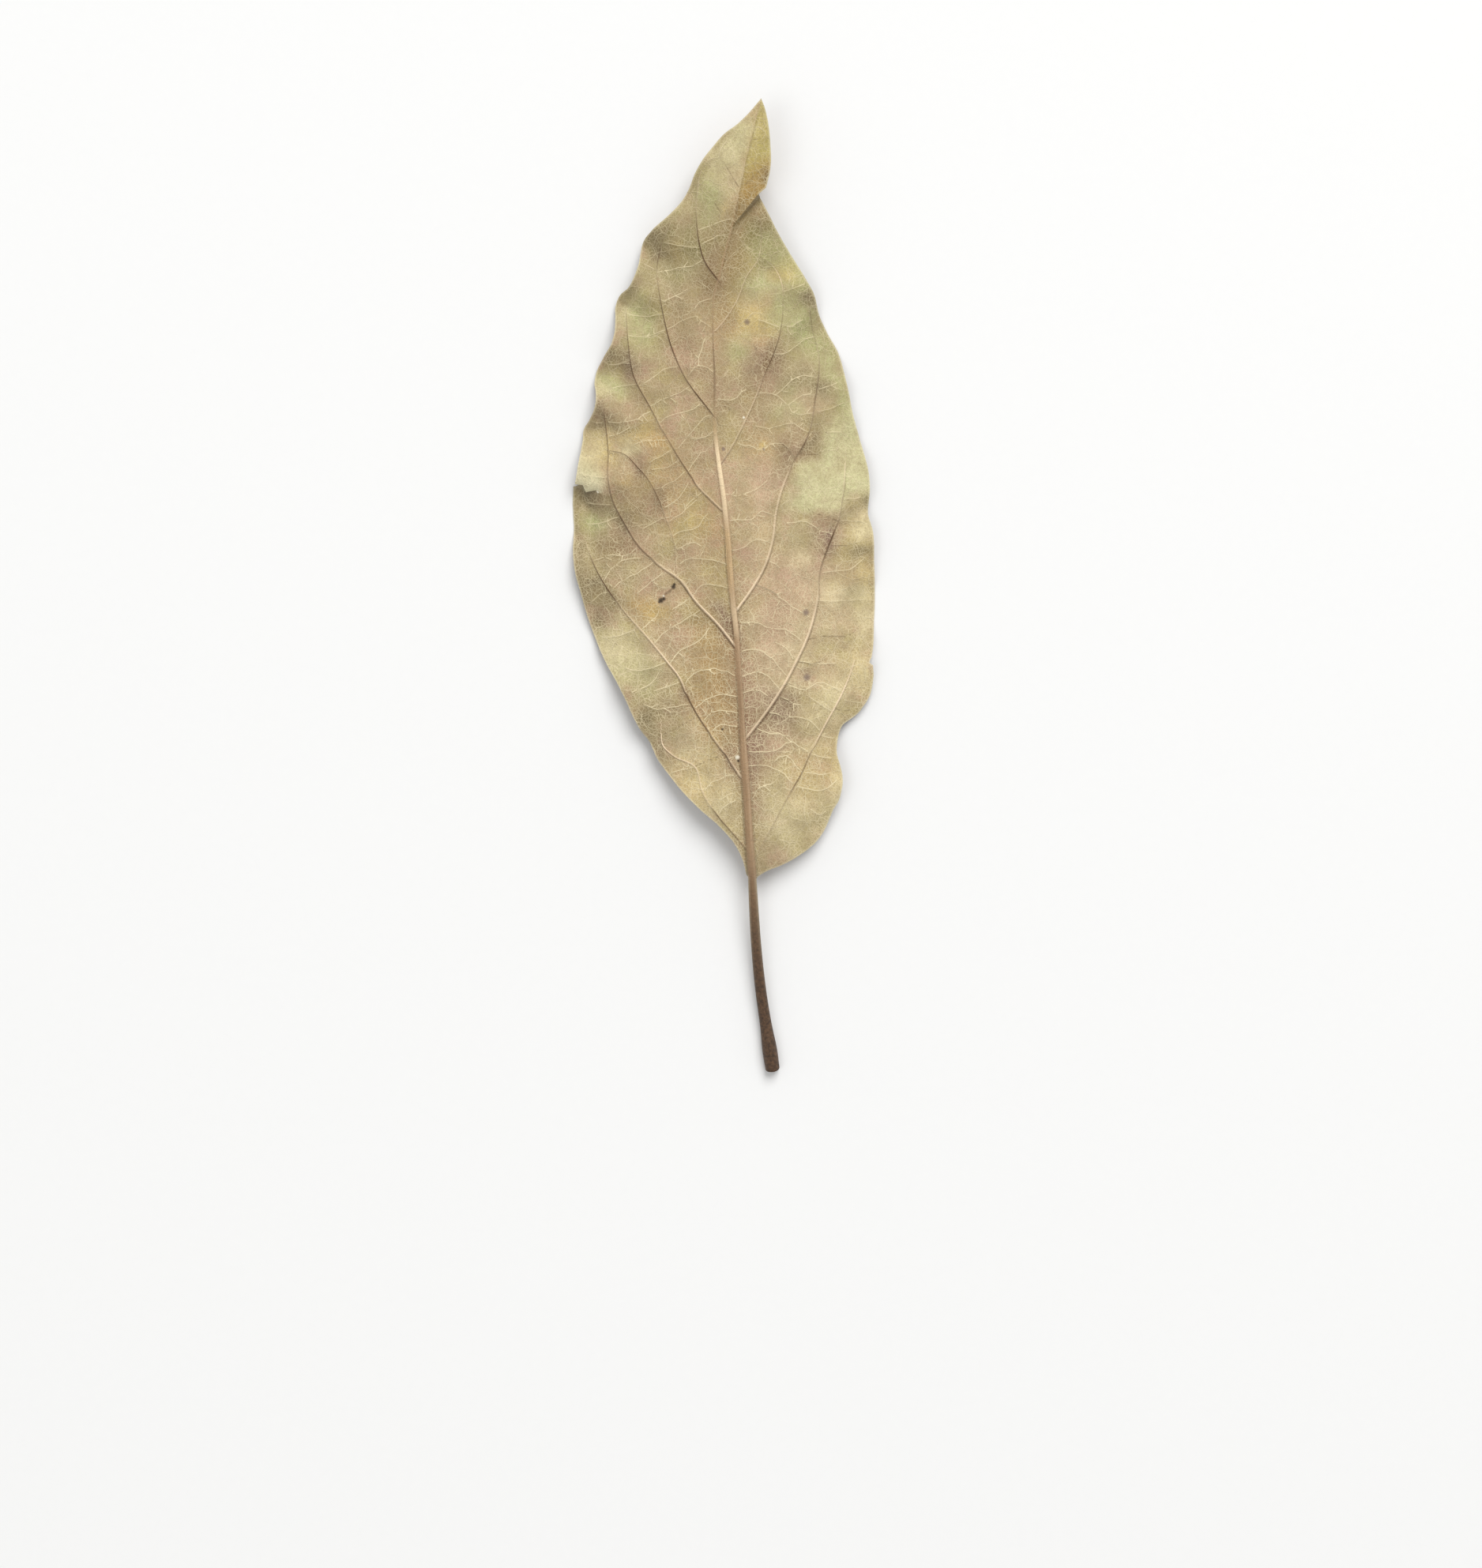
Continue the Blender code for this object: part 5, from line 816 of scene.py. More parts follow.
def smooth_line(points, step):
    """Returns points about a step apart on a smooth curve through the given ones."""
    knots = np.array(points, float)
    spans = np.linalg.norm(np.diff(knots, axis=0), axis=1)
    slopes = np.diff(knots, axis=0) / spans[:, None]
    tangents = np.vstack([slopes[:1], slopes[-1:]])
    if len(knots) > 2:
        before, after = spans[:-1, None], spans[1:, None]
        inner = (slopes[:-1] * after + slopes[1:] * before) / (before + after)
        tangents = np.vstack([slopes[:1], inner, slopes[-1:]])
    line = []
    for i, span in enumerate(spans):
        count = max(1, round(span / step))
        t = (np.arange(count) / count)[:, None]
        start, end = knots[i], knots[i + 1]
        line.append(
            (2 * t**3 - 3 * t**2 + 1) * start
            + (t**3 - 2 * t**2 + t) * span * tangents[i]
            + (3 * t**2 - 2 * t**3) * end
            + (t**3 - t**2) * span * tangents[i + 1]
        )
    return np.vstack(line + [knots[-1:]])


def evenly(line, step):
    """Returns points evenly spaced along a polyline."""
    run = run_along(line)
    marks = np.linspace(0.0, run[-1], max(2, round(run[-1] / step) + 1))
    return np.column_stack([np.interp(marks, run, line[:, k]) for k in (0, 1)])


def even_line(points, step):
    """Returns the smooth curve through the given points with its own points evenly spaced."""
    return evenly(smooth_line(points, step / PARTS_OF_A_STEP), step)


def corners_kept(line, step):
    """Returns a polyline with points added between its own."""
    pieces = [evenly(line[i:i + 2], step)[:-1] for i in range(len(line) - 1)]
    return np.vstack(pieces + [line[-1:]])


def along(table, place):
    """Reads a table of (place, size) smoothly at each place."""
    line = smooth_line(table, TABLE_STEP)
    return np.interp(place, line[:, 0], line[:, 1])


def smooth_step(t):
    t = np.clip(t, 0.0, 1.0)
    return t * t * (3 - 2 * t)


def crest_profile(gap, half_width):
    """Returns a rounded rise, from 1 at a crest to 0 a little beyond its half-width."""
    return np.exp(-((gap / half_width) ** 2))


def mound(x, y, centre_x, centre_y, radius):
    """Returns a round rise, from 1 at its centre to 0 a little beyond its radius."""
    return np.exp(-((x - centre_x) ** 2 + (y - centre_y) ** 2) / radius**2)


def nearest_on_line(x, y, line):
    """Returns each point's distance to a polyline, negative on its right, and how far along the nearest place is."""
    best = np.full(x.shape, np.inf)
    place = np.zeros(x.shape)
    side = np.ones(x.shape)
    run = run_along(line)
    for i in range(len(line) - 1):
        (ax, ay), (bx, by) = line[i], line[i + 1]
        length = run[i + 1] - run[i]
        across, up = x - ax, y - ay
        t = np.clip((across * (bx - ax) + up * (by - ay)) / length**2, 0.0, 1.0)
        gap = np.hypot(across - t * (bx - ax), up - t * (by - ay))
        closer = gap < best
        best[closer] = gap[closer]
        place[closer] = (run[i] + t[closer] * length) / run[-1]
        side[closer] = np.where((bx - ax) * up[closer] - (by - ay) * across[closer] < 0, -1.0, 1.0)
    return best * side, place


def nearest_of_lines(x, y, lines):
    """Returns each point's signed distance to the nearest line, which line that is, and how far along it is."""
    gap = np.full(x.shape, NEAR_VEIN)
    which = np.full(x.shape, -1)
    place = np.zeros(x.shape)
    for number, line in enumerate(lines):
        low, high = line.min(axis=0) - NEAR_VEIN, line.max(axis=0) + NEAR_VEIN
        near = np.nonzero((x > low[0]) & (x < high[0]) & (y > low[1]) & (y < high[1]))[0]
        found, spot = nearest_on_line(x[near], y[near], line)
        closer = np.abs(found) < np.abs(gap[near])
        rows = near[closer]
        gap[rows], which[rows], place[rows] = found[closer], number, spot[closer]
    return gap, which, place


def net_strands():
    """Returns the net's strands with small kinks, and short twigs beside them."""
    random = np.random.default_rng(SEED)
    lines = []
    for strand in NET_STRANDS:
        line = even_line(strand, KINK_STEP)
        line[1:-1] += random.uniform(-KINK, KINK, line[1:-1].shape)
        lines.append(line)
        for before, spot, after in zip(line[:-2], line[1:-1], line[2:]):
            if random.random() < TWIG_SHARE:
                way = math.atan2(*(after - before)[::-1]) + random.uniform(*TWIG_TURN) * random.choice((-1, 1))
                reach = random.uniform(*TWIG_LENGTH) * np.array([math.cos(way), math.sin(way)])
                bend = random.uniform(-KINK, KINK, 2)
                lines.append(np.array([spot, spot + reach / 2 + bend, spot + reach]))
    return lines


def rib_axis():
    return smooth_line(STALK + MIDRIB, CURVE_STEP)


def rib_offset(x, y):
    axis = rib_axis()
    return x - np.interp(y, axis[:, 1], axis[:, 0])


def stalk_runs(step):
    """Returns the stalk's left side, its rounded end and its right side."""
    axis = even_line(STALK + MIDRIB[:1], step)
    left = leftward(axis)
    width = along(RIB_HALF_WIDTH, axis[:, 1])[:, None]
    end, across = axis[0], left[0]
    back = np.array([-across[1], across[0]])
    cap = []
    for angle in np.linspace(0.0, math.pi, round(math.pi * width[0, 0] / step) + 1)[1:-1]:
        cap.append(end + across * width[0] * math.cos(angle) + back * STALK_END_BULGE * math.sin(angle))
    return (axis + left * width)[::-1], np.array(cap), (axis - left * width)[:-1]


def margin(step):
    """Returns the outline as a ring of points, counterclockwise from the tip."""
    runs = [even_line(points, step) for points in (LEFT_UPPER, LEFT_LOWER, RIGHT_LOWER, RIGHT_UPPER, RIGHT_TIP)]
    left_upper, left_lower, right_lower, right_upper, right_tip = runs
    tear = np.vstack([left_upper[-1:], TEAR_UPPER_LIP + [TEAR_END] + TEAR_LOWER_LIP, left_lower[:1]])
    nick = np.vstack([right_lower[-1:], RIGHT_NICK, right_upper[:1]])
    fold = np.vstack([right_upper[-1:], right_tip[:1]])
    tear, nick, fold = (corners_kept(corner, step)[1:-1] for corner in (tear, nick, fold))
    return np.vstack([
        left_upper, tear, left_lower[:-1], *stalk_runs(step), right_lower, nick, right_upper, fold, right_tip[:-1],
    ])


def ragged_outline():
    """Returns the margin's ring with small uneven bites, coarser where it is torn."""
    ring = margin(LINE_STEP)
    ahead = np.roll(ring, -1, axis=0) - np.roll(ring, 1, axis=0)
    ahead /= np.linalg.norm(ahead, axis=1)[:, None]
    inward = np.column_stack([-ahead[:, 1], ahead[:, 0]])
    bites = np.random.default_rng(SEED).uniform(0.0, 1.0, len(ring))
    soft = (np.roll(bites, 1) + 2 * bites + np.roll(bites, -1)) / 4
    torn = np.zeros(len(ring))
    for x, y, radius in TORN_PLACES:
        torn = np.maximum(torn, mound(ring[:, 0], ring[:, 1], x, y, radius))
    depth = RAGGED_SMOOTH * soft + (RAGGED_TORN - RAGGED_SMOOTH) * torn * bites
    depth *= smooth_step(ring[:, 1] / FOOT_LENGTH)
    return ring + inward * depth[:, None]


def wave(y, places):
    """Returns 1 at a margin's crests, -1 at its hollows, and a smooth curve between them."""
    order = np.arange(len(places))
    return np.cos(math.pi * np.interp(y, places[::-1], order[::-1]))


def beyond_fold(x, y):
    """Returns how far each point lies past the tip's fold line, on the folded side."""
    return nearest_on_line(x, y, np.array(TIP_FOLD))[0]


def tip_fold(x, y, offset):
    """Returns how far the folded tip is lifted."""
    rise = np.clip(offset, 0.0, None) * TIP_FOLD_SLOPE
    rise = TIP_FOLD_HEIGHT * np.tanh(rise / TIP_FOLD_HEIGHT)
    return rise * smooth_step((beyond_fold(x, y) - TIP_FOLD_START) / TIP_FOLD_STEP)


def above_tear(x, y):
    line = np.array(TEAR_LINE)
    return y - np.interp(x, line[:, 0], line[:, 1])


def just_below_tear(x, y):
    """Returns 1 right below the tear, fading to 0 further down, and 0 above it."""
    above = above_tear(x, y)
    return np.where(above < 0.0, np.exp(above / TEAR_SHADOW), 0.0)


def tear_step(x, y):
    """Returns the lift of the flap above the tear and the drop of the blade below it."""
    above = above_tear(x, y)
    inward = smooth_step((TEAR_END[0] - x) / TEAR_REACH)
    return inward * crest_profile(above, TEAR_LENGTH) * np.where(above > 0.0, TEAR_RISE, -TEAR_DROP)


def blade_height(x, y, margin_gap):
    """Returns the height of the blade's middle surface, without the tear."""
    offset = rib_offset(x, y)
    run = np.sqrt(offset**2 + RIDGE_ROUNDING**2) - RIDGE_ROUNDING
    left = offset < 0
    height = along(RIDGE_HEIGHT, y) - np.where(left, along(LEFT_FALL, y), along(RIGHT_FALL, y)) * run
    place = y + WAVE_LEAN * margin_gap
    left_rise = along(LEFT_WAVE_RISE, y) * wave(place, LEFT_WAVES) * crest_profile(margin_gap, LEFT_WAVE_REACH)
    right_rise = along(RIGHT_WAVE_RISE, y) * wave(place, RIGHT_WAVES) * crest_profile(margin_gap, RIGHT_WAVE_REACH)
    on_blade = smooth_step(y / BASE_CALM) * smooth_step(np.abs(offset) / RIB_CALM)
    height = height + np.where(left, left_rise, right_rise) * on_blade
    for sx, sy, radius, rise in SWELLINGS:
        height = height + rise * mound(x, y, sx, sy, radius)
    for along_x, along_y, phase in PUCKERS:
        height = height + PUCKER_HEIGHT * np.sin(along_x * x + along_y * y + phase) * on_blade
    height = height + tip_fold(x, y, offset)
    for sx, sy in RESTING_SPOTS:
        flatness = 1.0 - smooth_step((np.hypot(x - sx, y - sy) - RESTING_RADIUS) / RESTING_FADE)
        height = height + flatness * (BLADE_THICKNESS / 2 - RESTING_PRESS - height)
    return height


def inside(ring, points):
    """Says which points are inside a closed ring."""
    x, y = points[:, 0], points[:, 1]
    crossings = np.zeros(len(points), int)
    for (ax, ay), (bx, by) in zip(ring[:-1], ring[1:]):
        if ay != by:
            crossings += ((ay > y) != (by > y)) & (x < ax + (y - ay) * (bx - ax) / (by - ay))
    return crossings % 2 == 1


class Spread:
    """Points of a plan, none nearer to another than the gap that it was laid with."""

    def __init__(self, outline):
        self.points = []
        self.cells = {}
        self.outline = np.vstack([outline, outline[:1]])
        for point in outline:
            self.keep(point)

    def cell(self, point):
        return math.floor(point[0] / POINT_GAP), math.floor(point[1] / POINT_GAP)

    def keep(self, point):
        self.points.append((point[0], point[1]))
        self.cells.setdefault(self.cell(point), []).append(self.points[-1])

    def clear_of(self, point, gap):
        column, row = self.cell(point)
        for i in range(column - 1, column + 2):
            for j in range(row - 1, row + 2):
                for other in self.cells.get((i, j), ()):
                    if (other[0] - point[0]) ** 2 + (other[1] - point[1]) ** 2 < gap**2:
                        return False
        return True

    def lay(self, lines, gap):
        """Adds the points that are inside the outline and clear of all others."""
        points = np.vstack(lines)
        for point in points[inside(self.outline, points)]:
            if self.clear_of(point, gap):
                self.keep(point)


def both_sides(crest, distances):
    """Returns lines on both sides of a crest, at each of the distances."""
    return [beside(crest, side * distance) for distance in distances for side in (-1, 1)]


def leaf_plan(outline, strands):
    """Lays points along the outline, the marks, the ribs and the net, and fills the rest evenly."""
    plan = Spread(outline)
    lines = []
    for x, y, radius, _ in PITS + SPOTS + SPECKS:
        for share, count in MARK_RINGS:
            turns = math.tau * np.arange(count) / count
            lines.append(np.column_stack([x + share * radius * np.cos(turns), y + share * radius * np.sin(turns)]))
    crest = even_line(STALK + MIDRIB, LINE_STEP)[:-1]
    half = along(RIB_HALF_WIDTH, crest[:, 1])
    lines += both_sides(crest, [share * half for share in RIB_LINES])
    lines.append(even_line(SCAR, SCAR_HALF_WIDTH))
    fold = corners_kept(np.array(TIP_FOLD), LINE_STEP)
    lines += [beside(fold, distance) for distance in FOLD_LINES]
    plan.lay(lines, LEAST_GAP)
    lines = []
    for vein, width in zip(SIDE_VEINS, SIDE_VEIN_HALF_WIDTHS):
        crest = even_line(vein, LINE_STEP)
        half = width * np.linspace(1.0, SIDE_VEIN_TAPER, len(crest))
        lines += both_sides(crest, [share * half for share in VEIN_LINES])
    plan.lay(lines, VEIN_GAP)
    crests = [evenly(strand, LINE_STEP) for strand in strands]
    plan.lay(crests, VEIN_GAP)
    plan.lay([line for crest in crests for line in both_sides(crest, [NET_SIDE])], VEIN_GAP)
    low, high = outline.min(axis=0), outline.max(axis=0)
    rows = []
    for number, y in enumerate(np.arange(low[1], high[1], FILL_STEP * math.sin(math.radians(60)))):
        xs = np.arange(low[0] + (number % 2) * FILL_STEP / 2, high[0], FILL_STEP)
        rows.append(np.column_stack([xs, np.full(len(xs), y)]))
    plan.lay(rows, POINT_GAP)
    return plan


def leaf_sheet(plan, ring_count):
    """Returns a flat bmesh of the plan's triangles."""
    points = [Vector(p) for p in plan.points]
    inside_only = 1
    spots, _, triangles, _, _, _ = delaunay_2d_cdt(points, [], [list(range(ring_count))], inside_only, MEETING_GAP)
    sheet = bmesh.new()
    corners = [sheet.verts.new((p.x, p.y, 0.0)) for p in spots]
    for triangle in triangles:
        sheet.faces.new([corners[i] for i in triangle])
    sheet.normal_update()
    return sheet


def patches(x, y, places):
    """Returns how strongly each point lies in some soft patches."""
    strength = np.zeros(x.shape)
    for px, py, across, up, tilt, most in places:
        turn = math.radians(tilt)
        u = (x - px) * math.cos(turn) + (y - py) * math.sin(turn)
        v = (y - py) * math.cos(turn) - (x - px) * math.sin(turn)
        strength = 1.0 - (1.0 - strength) * (1.0 - most * np.exp(-((u / across) ** 2 + (v / up) ** 2)))
    return strength


def wandered(first, second):
    """Returns the first coordinate pushed about by crossing waves."""
    for along_first, along_second, phase, reach in WANDERS:
        first = first + reach * np.sin(along_first * first + along_second * second + phase)
    return first


def field(x, y):
    """Returns how strongly each point lies in the green field."""
    ring = np.array(GREEN_FIELD + GREEN_FIELD[:1])
    gap = np.abs(nearest_on_line(x, y, ring)[0])
    within = inside(ring, np.column_stack([x, y]))
    return smooth_step(0.5 + np.where(within, gap, -gap) / GREEN_FIELD_EDGE)


def marks(x, y, places):
    """Returns how strongly each point lies in some small round marks, and how deep they are there."""
    strength, depth = np.zeros(x.shape), np.zeros(x.shape)
    for px, py, radius, most in places:
        within = 1.0 - smooth_step((np.hypot(x - px, y - py) / radius - 1.0 + MARK_SOFTNESS) / (2 * MARK_SOFTNESS))
        strength = np.maximum(strength, within)
        depth = depth + within * most
    return strength, depth


def vein_measures(x, y):
    """Returns where each point lies across the nearest side vein, and how that vein shows and rises there."""
    gap, which, place = nearest_of_lines(x, y, [smooth_line(vein, CURVE_STEP) for vein in SIDE_VEINS])
    width = np.array(SIDE_VEIN_HALF_WIDTHS)[which] * (1.0 + (SIDE_VEIN_TAPER - 1.0) * place)
    upper_side = np.array([1.0 if vein[-1][0] < vein[0][0] else -1.0 for vein in SIDE_VEINS])[which]
    pale, dark = np.zeros(x.shape), np.zeros(x.shape)
    for number, tones in enumerate(SIDE_VEIN_TONES):
        rows = which == number
        places, pales, darks = np.array(tones).T
        pale[rows] = np.interp(place[rows], places, pales)
        dark[rows] = np.interp(place[rows], places, darks)
    boldness = FAINT_VEIN_RELIEF + (1.0 - FAINT_VEIN_RELIEF) * np.maximum(pale, dark)
    return {
        "vein_gap": np.abs(gap),
        "vein_across": np.clip(-gap / width * upper_side, -MOST_VEIN_WIDTHS, MOST_VEIN_WIDTHS),
        "vein_pale": pale,
        "vein_dark_and_shade": dark,
        "vein_rise": SIDE_VEIN_STEEPNESS * width * boldness * crest_profile(gap, width) * (which >= 0),
    }


def tear_measures(x, y):
    """Returns how dark the blade is just below the tear, and how pale the flap is above it."""
    below_flap = smooth_step((TEAR_SHADOW_END - x) / TEAR_REACH)
    deepest = TEAR_SHADOW_SHARE + (1.0 - TEAR_SHADOW_SHARE) * smooth_step((x - TEAR_LINE[1][0]) / TEAR_SHADOW)
    above = above_tear(x, y)
    on_flap = np.where(above > 0.0, smooth_step((TEAR_SHADOW_END - x) / FLAP_FADE), 0.0)
    return {
        "shadow": deepest * below_flap * just_below_tear(x, y),
        "flap": on_flap * np.exp(-above.clip(0.0) / FLAP_REACH),
    }


def leaf_measures(x, y, outline, strands):
    """Returns what the form and the colours depend on at each point of the plan, by name."""
    ring = np.vstack([outline, outline[:1]])
    rib_gap, _ = nearest_on_line(x, y, rib_axis())
    net_gap, _, _ = nearest_of_lines(x, y, strands)
    dark_gap, _, _ = nearest_of_lines(x, y, [smooth_line(strand, CURVE_STEP) for strand in DARK_STRANDS])
    measures = {name: along(table, y) for name, table in MEASURES_ALONG.items()}
    measures["edge_gap"] = np.abs(nearest_on_line(x, y, ring)[0])
    measures["rib_across"] = np.clip(-rib_gap / along(RIB_HALF_WIDTH, y), -MOST_RIB_WIDTHS, MOST_RIB_WIDTHS)
    measures["rib_side"] *= crest_profile(rib_offset(x, y), RIB_SIDE_REACH)
    measures["net_gap"] = np.abs(net_gap)
    measures["dark_gap"] = np.abs(dark_gap)
    measures["past_fold"] = np.clip(beyond_fold(x, y), *PAST_FOLD_RANGE)
    measures.update(vein_measures(x, y))
    measures.update(tear_measures(x, y))
    measures["nearest_vein"] = np.minimum(np.minimum(measures["vein_gap"], measures["net_gap"]), np.abs(rib_gap))
    moved_x, moved_y = wandered(x, y), wandered(y, x)
    for name, (_, _, places) in PATCHES.items():
        measures[name] = patches(moved_x, moved_y, places)
    measures["field"] = field(moved_x, moved_y)
    measures["pit"], measures["pit_depth"] = marks(x, y, PITS)
    measures["spot"], _ = marks(x, y, SPOTS)
    measures["speck"], measures["speck_depth"] = marks(x, y, SPECKS)
    measures["scar"] = crest_profile(nearest_on_line(x, y, np.array(SCAR))[0], SCAR_HALF_WIDTH)
    return measures


def face_heights(x, y, measures):
    """Returns the heights of the leaf's upper and lower faces, both resting no lower than the surface."""
    edge_gap = measures["edge_gap"]
    middle = blade_height(x, y, edge_gap)
    reach = SLOPE_REACH
    slope_x = (blade_height(x + reach, y, edge_gap) - blade_height(x - reach, y, edge_gap)) / (2 * reach)
    slope_y = (blade_height(x, y + reach, edge_gap) - blade_height(x, y - reach, edge_gap)) / (2 * reach)
    steepness = np.minimum(np.sqrt(1 + slope_x**2 + slope_y**2), STEEPEST_THICKENING)
    on_blade = smooth_step(y / FOOT_LENGTH)
    thinning = 1.0 - MARGIN_THINNING * on_blade * (1.0 - smooth_step(edge_gap / MARGIN_THINNING_REACH))
    half = BLADE_THICKNESS / 2 * steepness * thinning
    middle = middle + tear_step(x, y)
    crown = np.sqrt(np.clip(1.0 - measures["rib_across"] ** 2, 0.0, 1.0))
    filling = STALK_FILLING * (1.0 - smooth_step((y - STALK_FILLING_END) / STALK_FILLING_FADE))
    net_rise = NET_RELIEF * crest_profile(measures["net_gap"], NET_HALF_WIDTH)
    ribs = np.maximum(measures["vein_rise"], net_rise)
    calm = on_blade * smooth_step(edge_gap / QUILT_MARGIN)
    quilt = QUILT_DEPTH * calm * (1.0 - np.exp(-measures["nearest_vein"] / QUILT_REACH))
    top = middle + half - quilt + np.maximum(ribs, (along(RIB_TOP_RELIEF, y) + filling) * crown)
    top = top - measures["pit_depth"] - measures["speck_depth"]
    under = middle - half - quilt + RIDGES_UNDER * ribs - (along(RIB_UNDER_RELIEF, y) + filling) * crown
    lift = np.clip(-under, 0.0, None)
    return top + lift, under + lift


def make_leaf():
    """Builds the finer leaf in the place of the solid one, with its measures as attributes."""
    outline = ragged_outline()
    strands = net_strands()
    plan = leaf_plan(outline, strands)
    sheet = leaf_sheet(plan, len(outline))
    grown = bmesh.ops.extrude_face_region(sheet, geom=sheet.faces[:], use_keep_orig=True)
    upper = {v for v in grown["geom"] if isinstance(v, bmesh.types.BMVert)}
    spots = np.array([v.co[:2] for v in sheet.verts])
    on_top = np.array([v in upper for v in sheet.verts])
    x, y = spots[:, 0], spots[:, 1]
    measures = leaf_measures(x, y, outline, strands)
    measures["top"] = on_top.astype(float)
    top, under = face_heights(x, y, measures)
    y = y + TEAR_OVERLAP * just_below_tear(x, y) * smooth_step((TEAR_END[0] - x) / TEAR_OVERLAP)
    places = np.column_stack([x - PLAN_CENTRE[0], y - PLAN_CENTRE[1], np.where(on_top, top, under)]) * MM
    for corner, place in zip(sheet.verts, np.clip(places, *CAD_BOX)):
        corner.co = place
    bmesh.ops.triangulate(sheet, faces=sheet.faces[:])
    bmesh.ops.recalc_face_normals(sheet, faces=sheet.faces[:])
    mesh = bpy.data.meshes.new(SKIN_NAME)
    sheet.to_mesh(mesh)
    sheet.free()
    for name in SHADER_MEASURES:
        layer = mesh.attributes.new(name, "FLOAT", "POINT")
        layer.data.foreach_set("value", measures[name].astype(np.float32))
    spread_out(mesh)
    mesh.shade_smooth()
    mesh.set_sharp_from_angle(angle=math.radians(SHARP_ANGLE))
    mesh.materials.append(leaf_material())
    leaf = bpy.data.objects.new(SKIN_NAME, mesh)
    bpy.context.scene.collection.objects.link(leaf)
    return leaf


def read_all(items, name, width, kind=float):
    """Returns one property of all of a mesh's items, with so many numbers each."""
    values = np.zeros(len(items) * width, kind)
    items.foreach_get(name, values)
    return values.reshape(-1, width)


def spread_out(mesh):
    """Lays the upper and lower faces side by side in the leaf's map."""
    corners = read_all(mesh.loops, "vertex_index", 1, int)[:, 0]
    places = read_all(mesh.vertices, "co", 3)
    low, high = places.min(axis=0), places.max(axis=0)
    length, breadth = high[1] - low[1], high[0] - low[0]
    scale = 1.0 / (length * (1.0 + 2 * MAP_EDGE))
    across = (places[:, 0] - low[0]) * scale + MAP_EDGE
    up = (places[:, 1] - low[1]) * scale + MAP_EDGE
    faces_under = read_all(mesh.polygons, "normal", 3)[:, 2] < 0
    loops_under = np.repeat(faces_under, 3)
    shift = np.where(loops_under, breadth * scale + 2 * MAP_EDGE, 0.0)
    spots = np.column_stack([across[corners] + shift, up[corners]])
    mesh.uv_layers.new(name="OFBake").data.foreach_set("uv", spots.ravel())


